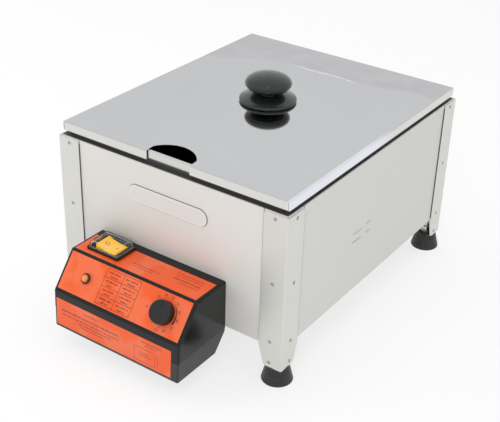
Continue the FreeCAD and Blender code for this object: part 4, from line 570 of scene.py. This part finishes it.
FINISHES = {
    "bath_steel": bath_steel("bath steel"),
    "post_steel": post_steel("post steel"),
    # Painted shade: the bracket steel is tinted near black for the shade it sits in between post and foot.
    "bracket_steel": polished_steel("bracket steel", (0.11, 0.11, 0.105), 0.4, "x"),
    "foot_rubber": foot_rubber("foot rubber"),
    "zinc_steel": plain_metal("zinc plating", (0.68, 0.69, 0.70), (0.50, 0.49, 0.44), 0.24),
    "stud_steel": plain_metal("stud steel", (0.60, 0.60, 0.59), (0.42, 0.41, 0.40), 0.3),
    "pan_steel": pan_steel("pan steel"),
    "lid_steel": lid_steel("lid steel"),
    "knob_black": gloss_black("knob black", (0.010, 0.013, 0.011), (0.018, 0.022, 0.019), 0.24, 0.6,
                              grain=1.4 * MM),
    "brass": plain_metal("brass", (0.72, 0.52, 0.24), (0.50, 0.33, 0.13), 0.24),
    "box_black": gloss_black("box black", (0.003, 0.0035, 0.0035), (0.008, 0.009, 0.009), 0.20, 0.08,
                             parted=BOX_SEAM),
    "label_orange": print_film("label orange"),
    "switch_black": gloss_black("switch black", (0.007, 0.008, 0.008), (0.018, 0.018, 0.018), 0.32, 0.1),
    "hood_clear": clear_hood("hood clear"),
    "rocker_amber": lit_plastic("rocker amber", (0.93, 0.52, 0.004), (0.84, 0.36, 0.003), 0.25),
    "lens_amber": lamp_lens("lens amber", LAMP_PLACE, SLOPE.out),
    "fitting_plastic": matte_plastic("fitting black", (0.03, 0.03, 0.03), (0.06, 0.06, 0.06)),
    "dial_black": gloss_black("dial black", (0.008, 0.009, 0.008), (0.020, 0.022, 0.020), 0.26, 0.2),
    "shaft_steel": plain_metal("shaft steel", (0.62, 0.62, 0.61), (0.45, 0.45, 0.44), 0.25),
    "thermostat_case": matte_plastic("thermostat case", (0.36, 0.30, 0.22), (0.46, 0.40, 0.31)),
    "probe_steel": plain_metal("probe steel", (0.62, 0.61, 0.59), (0.45, 0.44, 0.42), 0.3, 8 * MM),
    "element_steel": heated_metal("element sheath"),
    "seal_rubber": matte_plastic("seal red", (0.30, 0.05, 0.03), (0.38, 0.09, 0.06), 0.6),
    "wire_cover": wire_cover("wire cover"),
}
INK = print_ink("print ink", (0.018, 0.010, 0.010))
MARK = print_ink("rocker mark", (0.10, 0.045, 0.01))
ENGRAVED = print_ink("engraved grey", (0.30, 0.30, 0.30))
HEAT_INK = heat_ink("print dark red")
WELD_TINT = plain_metal("weld tint", (0.06, 0.055, 0.05), (0.03, 0.028, 0.025), 0.45, 1.5 * MM)


# Mesh pieces


def new_object(name, mesh, material):
    thing = bpy.data.objects.new(name, mesh)
    bpy.context.scene.collection.objects.link(thing)
    if material is not None:
        mesh.materials.clear()
        mesh.materials.append(material)
    return thing


def mesh_from(name, build):
    """A mesh from a function that fills a bmesh, with its normals set to point outwards."""
    form = bmesh.new()
    build(form)
    bmesh.ops.remove_doubles(form, verts=form.verts, dist=0.001 * MM)
    bmesh.ops.recalc_face_normals(form, faces=form.faces)
    mesh = bpy.data.meshes.new(name)
    form.to_mesh(mesh)
    form.free()
    return mesh


def spun(name, profile, steps, place):
    """A closed solid turned about an upright axis from (radius, height) points, first and last on it."""
    def build(form):
        points = [form.verts.new((radius, 0, height)) for radius, height in profile]
        edges = [form.edges.new(pair) for pair in zip(points, points[1:])]
        bmesh.ops.spin(form, geom=points + edges, cent=(0, 0, 0), axis=(0, 0, 1), angle=math.tau,
                       steps=steps, use_merge=True)
    mesh = mesh_from(name, build)
    mesh.transform(place)
    mesh.shade_smooth()
    mesh.set_sharp_from_angle(angle=SMOOTH_ANGLE)
    return mesh


def arc(start, via, end, steps):
    """Points on the arc through three (radius, height) points, without its first one."""
    ax, ay = start
    bx, by = via
    cx, cy = end
    twice = 2 * (ax * (by - cy) + bx * (cy - ay) + cx * (ay - by))
    squares = [x * x + y * y for x, y in (start, via, end)]
    ux = (squares[0] * (by - cy) + squares[1] * (cy - ay) + squares[2] * (ay - by)) / twice
    uy = (squares[0] * (cx - bx) + squares[1] * (ax - cx) + squares[2] * (bx - ax)) / twice
    radius = math.hypot(ax - ux, ay - uy)
    first = math.atan2(ay - uy, ax - ux)
    turn = math.remainder(math.atan2(by - uy, bx - ux) - first, math.tau)
    turn += math.remainder(math.atan2(cy - uy, cx - ux) - math.atan2(by - uy, bx - ux), math.tau)
    angles = [first + turn * step / steps for step in range(1, steps + 1)]
    return [(ux + radius * math.cos(angle), uy + radius * math.sin(angle)) for angle in angles]


def ride_on(body, thing):
    """Let a piece move with a body."""
    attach(thing, body)


def make_lid_knob():
    """The turned lid knob: a domed disc, a narrow neck and a flattened bulb with an elliptical outline."""
    disc, edge, rise = 30.7 * MM, 3.8 * MM, 9.3 * MM
    neck, bulb, middle, half = 13.0 * MM, 24.9 * MM, 20.0 * MM, 10.9 * MM
    hole, depth = 5.0 * MM, 15.0 * MM
    neck_top = middle - half + 1.3 * MM
    over_disc = (disc * 0.72, edge * 0.55 + rise * 0.45 + 0.6 * MM)
    in_neck = (neck * 0.9, (rise + middle - half) / 2 + 0.3 * MM)
    profile = [(0, depth), (hole, depth), (hole, 0), (disc - edge / 2, 0)]
    profile += arc(profile[-1], (disc, edge / 2), (disc - edge / 2, edge), 10)
    profile += arc(profile[-1], over_disc, (neck, rise), 12)
    profile += arc(profile[-1], in_neck, (neck, neck_top), 6)
    start = math.asin((neck_top - middle) / half)
    steps = 34
    for step in range(1, steps + 1):
        angle = start + (math.pi / 2 - start) * step / steps
        profile.append((max(bulb * math.cos(angle), 0), middle + half * math.sin(angle)))
    place = Matrix.Translation((0, MIDDLE_Y, KNOB_LOW.z))
    knob = new_object("turned_lid_knob", spun("turned_lid_knob", profile, 120, place), FINISHES["knob_black"])
    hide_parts("lid_knob")
    ride_on("lid", knob)


# Fittings and prints that repeat


def repeat(name, points, shape, material):
    """Put one small shape on every point, turned so that its Z follows the point's facing and X its run."""
    tree = bpy.data.node_groups.new(name, "GeometryNodeTree")
    tree.interface.new_socket("Points", in_out="INPUT", socket_type="NodeSocketGeometry")
    fitting = tree.interface.new_socket("Fitting", in_out="INPUT", socket_type="NodeSocketObject")
    finish = tree.interface.new_socket("Finish", in_out="INPUT", socket_type="NodeSocketMaterial")
    tree.interface.new_socket("Geometry", in_out="OUTPUT", socket_type="NodeSocketGeometry")
    nodes = Nodes(tree)
    entry = nodes.add("NodeGroupInput", {})
    facing = nodes.add("GeometryNodeInputNamedAttribute", {"data_type": "FLOAT_VECTOR"}, "facing")
    run = nodes.add("GeometryNodeInputNamedAttribute", {"data_type": "FLOAT_VECTOR"}, "run")
    size = nodes.add("GeometryNodeInputNamedAttribute", {"data_type": "FLOAT_VECTOR"}, "size")
    upright = nodes.add("FunctionNodeAlignRotationToVector", {"axis": "Z"}, Vector=facing)
    turned = nodes.add("FunctionNodeAlignRotationToVector", {"axis": "X", "pivot_axis": "Z"},
                       Rotation=upright, Vector=run)
    part = nodes.add("GeometryNodeObjectInfo", {}, entry.out("Fitting")).out("Geometry")
    placed = nodes.add("GeometryNodeInstanceOnPoints", {}, entry, Instance=part, Rotation=turned, Scale=size)
    solid = nodes.add("GeometryNodeRealizeInstances", {}, placed)
    coated = nodes.add("GeometryNodeSetMaterial", {}, solid, Material=entry.out("Finish"))
    nodes.add("NodeGroupOutput", {}, coated)
    base = bpy.data.meshes.new(name + "_points")
    base.from_pydata([point[0] for point in points], [], [])
    for label, place in (("facing", 1), ("run", 2), ("size", 3)):
        values = base.attributes.new(label, "FLOAT_VECTOR", "POINT")
        values.data.foreach_set("vector", [number for point in points for number in point[place]])
    carrier = new_object(name + "_carrier", base, None)
    template = new_object(name + "_fitting", shape, None)
    modifier = carrier.modifiers.new("fittings", "NODES")
    modifier.node_group = tree
    modifier[fitting.identifier] = template
    modifier[finish.identifier] = material
    evaluated = carrier.evaluated_get(bpy.context.evaluated_depsgraph_get())
    mesh = bpy.data.meshes.new_from_object(evaluated)
    mesh.name = name
    carrier.modifiers.remove(modifier)
    bpy.data.objects.remove(carrier)
    bpy.data.objects.remove(template)
    return new_object(name, mesh, material)


def bar():
    """A unit block that stands on its own base plane, to be scaled to a stroke."""
    def build(form):
        bmesh.ops.create_cube(form, size=1.0, matrix=Matrix.Translation((0, 0, 0.5)))
    return mesh_from("bar", build)


def ring(inner, outer, height):
    """A flat washer shape that stands on its own base plane."""
    steps = 28
    turns = [math.tau * step / steps for step in range(steps)]

    def build(form):
        loops = []
        for radius, level in ((inner, 0), (outer, 0), (outer, height), (inner, height)):
            loops.append([form.verts.new((radius * math.cos(turn), radius * math.sin(turn), level))
                          for turn in turns])
        for one, two in zip(loops, loops[1:] + loops[:1]):
            for step in range(steps):
                after = (step + 1) % steps
                form.faces.new((one[step], one[after], two[after], two[step]))
    return mesh_from("ring", build)


def printed(name, points, ink):
    ride_on("base", repeat(name, points, bar(), ink))


def on_slope(x, down):
    """A point on the sloped film, from the bath's middle line and the slope's upper edge."""
    dial_x, dial_down = 42.2 * MM, 21.8 * MM
    return SLOPE.on(DIAL_PLACE + SLOPE.along * (x - dial_x) + SLOPE.up * (dial_down - down))


def on_top(x, ahead):
    """A point on the top film, from the bath's middle line and front wall."""
    return TOP.on((x, WALL_FRONT - ahead, TOP.point.z))


def on_front(x, level):
    """A point on the front film, from the bath's middle line and the floor."""
    return FRONT.on((x, FRONT.point.y, level))


def fine_print(face, start, length, tall, chance):
    """Small unreadable print: word-long groups of upright and level strokes, as tall as its letters."""
    points = []
    weight, pitch = tall * 0.21, tall * 0.74
    far = 0.0
    while far < length - pitch:
        for letter in range(chance.randint(2, 8)):
            middle = start + face.along * (far + pitch / 2)
            if far > length - pitch:
                break
            rise = tall * chance.choice((0.7, 0.7, 0.7, 1.0))
            left = middle - face.along * (pitch * 0.24)
            points.append((left + face.up * (rise / 2), face.out, face.up, (rise, weight, PRINT)))
            if chance.random() < 0.75:
                right = middle + face.along * (pitch * 0.24)
                points.append((right + face.up * (tall * 0.35), face.out, face.up,
                               (tall * 0.7, weight, PRINT)))
            level = tall * chance.choice((0.06, 0.34, 0.64))
            points.append((middle + face.up * level, face.out, face.along, (pitch * 0.48, weight, PRINT)))
            far += pitch
        far += pitch * 0.7
    return points


def lettering(name, words, ink, body):
    """Plain raised signs as one piece, from (text, height, middle, along, up) of each."""
    whole = bmesh.new()
    for text, height, middle, along, up in words:
        sign = bpy.data.curves.new(name, "FONT")
        sign.body = text
        sign.size = height / 0.7
        sign.align_x = "CENTER"
        sign.align_y = "CENTER"
        sign.extrude = PRINT
        sign.resolution_u = 3
        holder = bpy.data.objects.new(name, sign)
        bpy.context.scene.collection.objects.link(holder)
        mesh = bpy.data.meshes.new_from_object(holder.evaluated_get(bpy.context.evaluated_depsgraph_get()))
        turn = Matrix((along, up, along.cross(up))).transposed().to_4x4()
        mesh.transform(Matrix.Translation(middle) @ turn)
        whole.from_mesh(mesh)
        bpy.data.meshes.remove(mesh)
        bpy.data.objects.remove(holder)
    bmesh.ops.remove_doubles(whole, verts=whole.verts, dist=0.001 * MM)
    bmesh.ops.recalc_face_normals(whole, faces=whole.faces)
    mesh = bpy.data.meshes.new(name)
    whole.to_mesh(mesh)
    whole.free()
    ride_on(body, new_object(name, mesh, ink))


def make_dial_scale():
    """Printed scale round the dial: plain temperatures, ticks, a hot band that widens, and a start dot."""
    def around(turn, reach):
        outward = SLOPE.along * math.sin(turn) + SLOPE.up * math.cos(turn)
        return SLOPE.on(DIAL_PLACE + outward * reach), outward
    ticks, numbers = [], []
    tick_reach, fine_reach, number_reach, number_tall = 14.5 * MM, 14.2 * MM, 17.0 * MM, 2.3 * MM
    for place in range(SCALE_COUNT):
        middle, outward = around(SCALE_START + SCALE_TURN * place, tick_reach)
        ticks.append((middle, SLOPE.out, outward, (1.4 * MM, 0.4 * MM, PRINT)))
        middle, outward = around(SCALE_START + SCALE_TURN * place, number_reach)
        number = str(SCALE_FIRST + SCALE_STEP * place)
        numbers.append((number, number_tall, middle, outward.cross(SLOPE.out), outward))
    fine_parts = 4
    for place in range((SCALE_COUNT - 1) * fine_parts + 1):
        middle, outward = around(SCALE_START + SCALE_TURN * place / fine_parts, fine_reach)
        ticks.append((middle, SLOPE.out, outward, (1.0 * MM, 0.45 * MM, PRINT)))
    dot, _ = around(math.radians(-92), 20.3 * MM)
    strokes = 6
    for stroke in range(strokes):
        turn = math.pi * stroke / strokes
        run = SLOPE.along * math.cos(turn) + SLOPE.up * math.sin(turn)
        ticks.append((dot, SLOPE.out, run, (1.5 * MM, 0.45 * MM, PRINT)))
    printed("dial_ticks", ticks, INK)
    lettering("dial_numbers", numbers, INK, "base")
    band, pieces = [], 30
    band_inside, narrow, widening = 13.3 * MM, 0.5 * MM, 2.2 * MM
    band_start, band_turn = 44, 72
    for piece in range(pieces):
        share = piece / (pieces - 1)
        width = narrow + widening * share
        middle, outward = around(math.radians(band_start + band_turn * share), band_inside + width / 2)
        band.append((middle, SLOPE.out, outward, (width, 0.9 * MM, PRINT * 0.6)))
    printed("dial_band", band, HEAT_INK)


def make_slope_print():
    """A ruled table of eight cells with two rows of small print in each, and a bolder first cell."""
    lines, words = [], []
    left, right, head, foot = -36 * MM, 7 * MM, 4 * MM, 40 * MM
    columns, rows, weight = 2, 4, TABLE_LINE
    wide, deep = (right - left) / columns, (foot - head) / rows
    for column in range(columns + 1):
        middle = on_slope(left + wide * column, (head + foot) / 2)
        lines.append((middle, SLOPE.out, SLOPE.up, (foot - head + weight, weight, PRINT)))
    for row in range(rows + 1):
        middle = on_slope((left + right) / 2, head + deep * row)
        lines.append((middle, SLOPE.out, SLOPE.along, (right - left + weight, weight, PRINT)))
    chance = random.Random(11)
    for column in range(columns):
        for row in range(rows):
            bold = column == 0 and row == rows - 1
            for share, length in ((0.44, 0.72), (0.86, 0.44)):
                across = wide * (column + (1 - length) / 2)
                start = on_slope(left + across, head + deep * (row + share))
                tall = 2.4 * MM if bold else 1.8 * MM
                words += fine_print(SLOPE, start, wide * length, tall, chance)
    printed("table_lines", lines, INK)
    printed("table_print", words, INK)


def make_top_print():
    """Rows of small print on the top film; the place in its middle stays bare."""
    # Start, distance from the wall, length and letter height of each row, in mm
    rows = [(-21, 29.5, 35, 1.4), (-17, 33.0, 24, 1.2), (26, 17.0, 34, 1.2), (27, 20.6, 33, 1.2),
            (28, 26.0, 32, 2.0), (36, 30.2, 24, 1.2)]
    chance = random.Random(12)
    words = []
    for x, ahead, length, tall in rows:
        words += fine_print(TOP, on_top(x * MM, ahead * MM), length * MM, tall * MM, chance)
    printed("top_print", words, INK)


def make_front_print():
    """Rows of small print on the front film, and a plain drawn rectangle with captions beside it."""
    # Start, height over the floor, length and letter height of each row, in mm
    rows = [(-47.5, 46.6, 18, 1.5), (-78, 40.4, 78, 1.9), (-77, 35.8, 76, 1.4), (-55, 32.4, 44, 1.4),
            (-52, 29.2, 30, 1.3), (27, 47.6, 25, 1.3), (31, 44.6, 16, 1.2), (24, 34.6, 13, 1.2),
            (24, 31.6, 15, 1.2)]
    chance = random.Random(13)
    words = []
    for x, level, length, tall in rows:
        words += fine_print(FRONT, on_front(x * MM, level * MM), length * MM, tall * MM, chance)
    printed("front_print", words, INK)
    left, right, low, high, weight = 18 * MM, 44 * MM, 25 * MM, 40.5 * MM, BOX_LINE
    lines = []
    for level in (low, high):
        middle = on_front((left + right) / 2, level)
        lines.append((middle, FRONT.out, FRONT.along, (right - left + weight, weight, PRINT)))
    for x in (left, right, right + 3.4 * MM):
        middle = on_front(x, (low + high) / 2)
        lines.append((middle, FRONT.out, FRONT.up, (high - low + weight, weight, PRINT)))
    printed("front_rectangle", lines, INK)


def make_rocker_signs():
    """I on the pressed end of the rocker and O on its raised end, flat in the middle of each dished face."""
    pivot = Vector(ROCKER_JOINT["pos_m"])
    pressed, dish = 9.0, 8.8
    reach, rise, tall = 6.15 * MM, 5.2 * MM, 4.6 * MM
    across, hinge = Vector((1, 0, 0)), Vector((0, 1, 0))
    signs = []
    for text, side in (("I", 1), ("O", -1)):
        middle = pivot + Quaternion(hinge, math.radians(pressed)) @ Vector((reach * side, 0, rise))
        along = Quaternion(hinge, math.radians(pressed - dish * side)) @ across
        signs.append((text, tall, middle, along, hinge))
    lettering("rocker_signs", signs, MARK, "rocker")


def make_level_words():
    """The words for the highest and lowest water level, beside their lines on the right side."""
    along, up = Vector((0, 1, 0)), Vector((0, 0, 1))
    words = [(word, WORD_TALL, Vector((BATH_SIDE, MIDDLE_Y + WORD_MIDDLE, level)), along, up)
             for word, level in zip(("MIN", "MAX"), LEVEL_LINES)]
    lettering("level_words", words, ENGRAVED, "base")


def make_weld_rings():
    """A thin dark heat ring round every spot weld on the four posts."""
    points, whole = [], (1, 1, 1)
    for name in ("front_left", "front_right", "rear_left", "rear_right"):
        low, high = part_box("post_" + name)
        side_x = -1 if name.endswith("left") else 1
        side_y = -1 if name.startswith("front") else 1
        face_x = low.x if side_x < 0 else high.x
        face_y = low.y if side_y < 0 else high.y
        for level in WELD_LEVELS:
            points.append(((face_x - side_x * WELD_INSET, face_y, level), (0, side_y, 0), (1, 0, 0), whole))
            points.append(((face_x, face_y - side_y * WELD_INSET, level), (side_x, 0, 0), (0, 1, 0), whole))
    rings = repeat("weld_rings", points, ring(1.15 * MM, 1.7 * MM, 0.04 * MM), WELD_TINT)
    ride_on("base", rings)


def cover_nodes():
    """Give every part of the machine the finish of its slot."""
    slots = {part["node"]: part["material_slot"] for part in frame["record"]["subparts"]}
    for node, thing in frame["nodes"].items():
        thing.data.materials.clear()
        thing.data.materials.append(FINISHES[slots[node]])


# Floor, light and camera


def make_floor():
    """A pale floor that shows as white to the camera and in reflections, and keeps the machine's shadow."""
    floor = Finish("pale floor")
    matte = floor.add("ShaderNodeBsdfDiffuse", {}, Color=(0.93, 0.93, 0.93))
    white = floor.add("ShaderNodeEmission", {}, Color=WHITE, Strength=1.0)
    path = floor.add("ShaderNodeLightPath", {})
    seen = (path + path.out("Is Glossy Ray") + path.out("Is Transmission Ray")).clipped()
    floor.end(floor.add("ShaderNodeMixShader", {}, seen * 0.72, matte, white))
    half = 30.0

    def build(form):
        bmesh.ops.create_grid(form, x_segments=1, y_segments=1, size=half)
    ground = new_object("floor", mesh_from("floor", build), floor.material)


def make_world():
    """An even white surround: full white to the camera, a little darker in metal, dimmer as a light."""
    world = bpy.data.worlds.new("studio")
    bpy.context.scene.world = world
    world.use_nodes = True
    world.node_tree.nodes.clear()
    nodes = Nodes(world.node_tree)
    path = nodes.add("ShaderNodeLightPath", {})
    seen = (path + path.out("Is Transmission Ray")).clipped()
    heading = nodes.add("ShaderNodeTexCoord", {}).out("Generated")
    rise = nodes.add("ShaderNodeSeparateXYZ", {}, heading).out("Z")
    open_sky = nodes.add("ShaderNodeMapRange", {"interpolation_type": "SMOOTHSTEP"}, rise, 0.25, 0.55)
    ambient = nodes.add("ShaderNodeBackground", {}, Color=WHITE, Strength=0.62)
    shown = nodes.add("ShaderNodeBackground", {}, Color=WHITE, Strength=1.0)
    in_metal = open_sky * 0.08 + 0.84
    mirrored = nodes.add("ShaderNodeBackground", {}, Color=(0.985, 0.99, 1.0), Strength=in_metal)
    lit = nodes.add("ShaderNodeMixShader", {}, path.out("Is Glossy Ray"), ambient, mirrored)
    mixed = nodes.add("ShaderNodeMixShader", {}, seen, lit, shown)
    nodes.add("ShaderNodeOutputWorld", {}, mixed)


def add_lamp(name, place, target, width, height, power, tint=WHITE, mirrored=True):
    data = bpy.data.lights.new(name, "AREA")
    data.shape = "RECTANGLE"
    data.size = width
    data.size_y = height
    data.energy = power
    data.color = tint
    lamp = bpy.data.objects.new(name, data)
    bpy.context.scene.collection.objects.link(lamp)
    lamp.location = place
    lamp.visible_glossy = mirrored
    lamp.rotation_mode = "QUATERNION"
    lamp.rotation_quaternion = (Vector(target) - Vector(place)).to_track_quat("-Z", "Y")


def make_lights():
    middle = (0, 0, 0.1)
    add_lamp("key", (0.75, -1.6, 1.15), middle, 1.2, 0.9, 10, mirrored=False)
    add_lamp("fill", (-1.6, -0.6, 1.0), middle, 1.4, 1.4, 11, (1.0, 0.98, 0.95), mirrored=False)
    add_lamp("top", (0.0, 0.4, 1.9), middle, 1.8, 1.8, 10, mirrored=False)
    add_lamp("glint", (0.45, -0.75, 1.9), middle, 0.16, 0.08, 0.9)


def make_camera():
    """The photograph's view: a long lens, from the front right and above, with a slight tilt of the frame."""
    azimuth, elevation, roll = math.radians(34.245), math.radians(29.63), math.radians(1.8455)
    data = bpy.data.cameras.new("camera")
    data.sensor_width = 36.0
    data.lens = 74.18
    data.clip_start = 0.01
    camera = bpy.data.objects.new("camera", data)
    bpy.context.scene.collection.objects.link(camera)
    camera.location = (0.55418, MIDDLE_Y - 0.84092, 0.64464)
    level = math.cos(elevation)
    forward = Vector((-math.sin(azimuth) * level, math.cos(azimuth) * level, -math.sin(elevation)))
    camera.rotation_mode = "QUATERNION"
    camera.rotation_quaternion = forward.to_track_quat("-Z", "Y") @ Quaternion((0, 0, 1), roll)
    bpy.context.scene.camera = camera


cover_nodes()
make_lid_knob()
make_dial_scale()
make_slope_print()
make_top_print()
make_front_print()
make_rocker_signs()
make_level_words()
make_weld_rings()
make_floor()
make_world()
make_lights()
make_camera()
bpy.context.scene.view_settings.view_transform = "Standard"
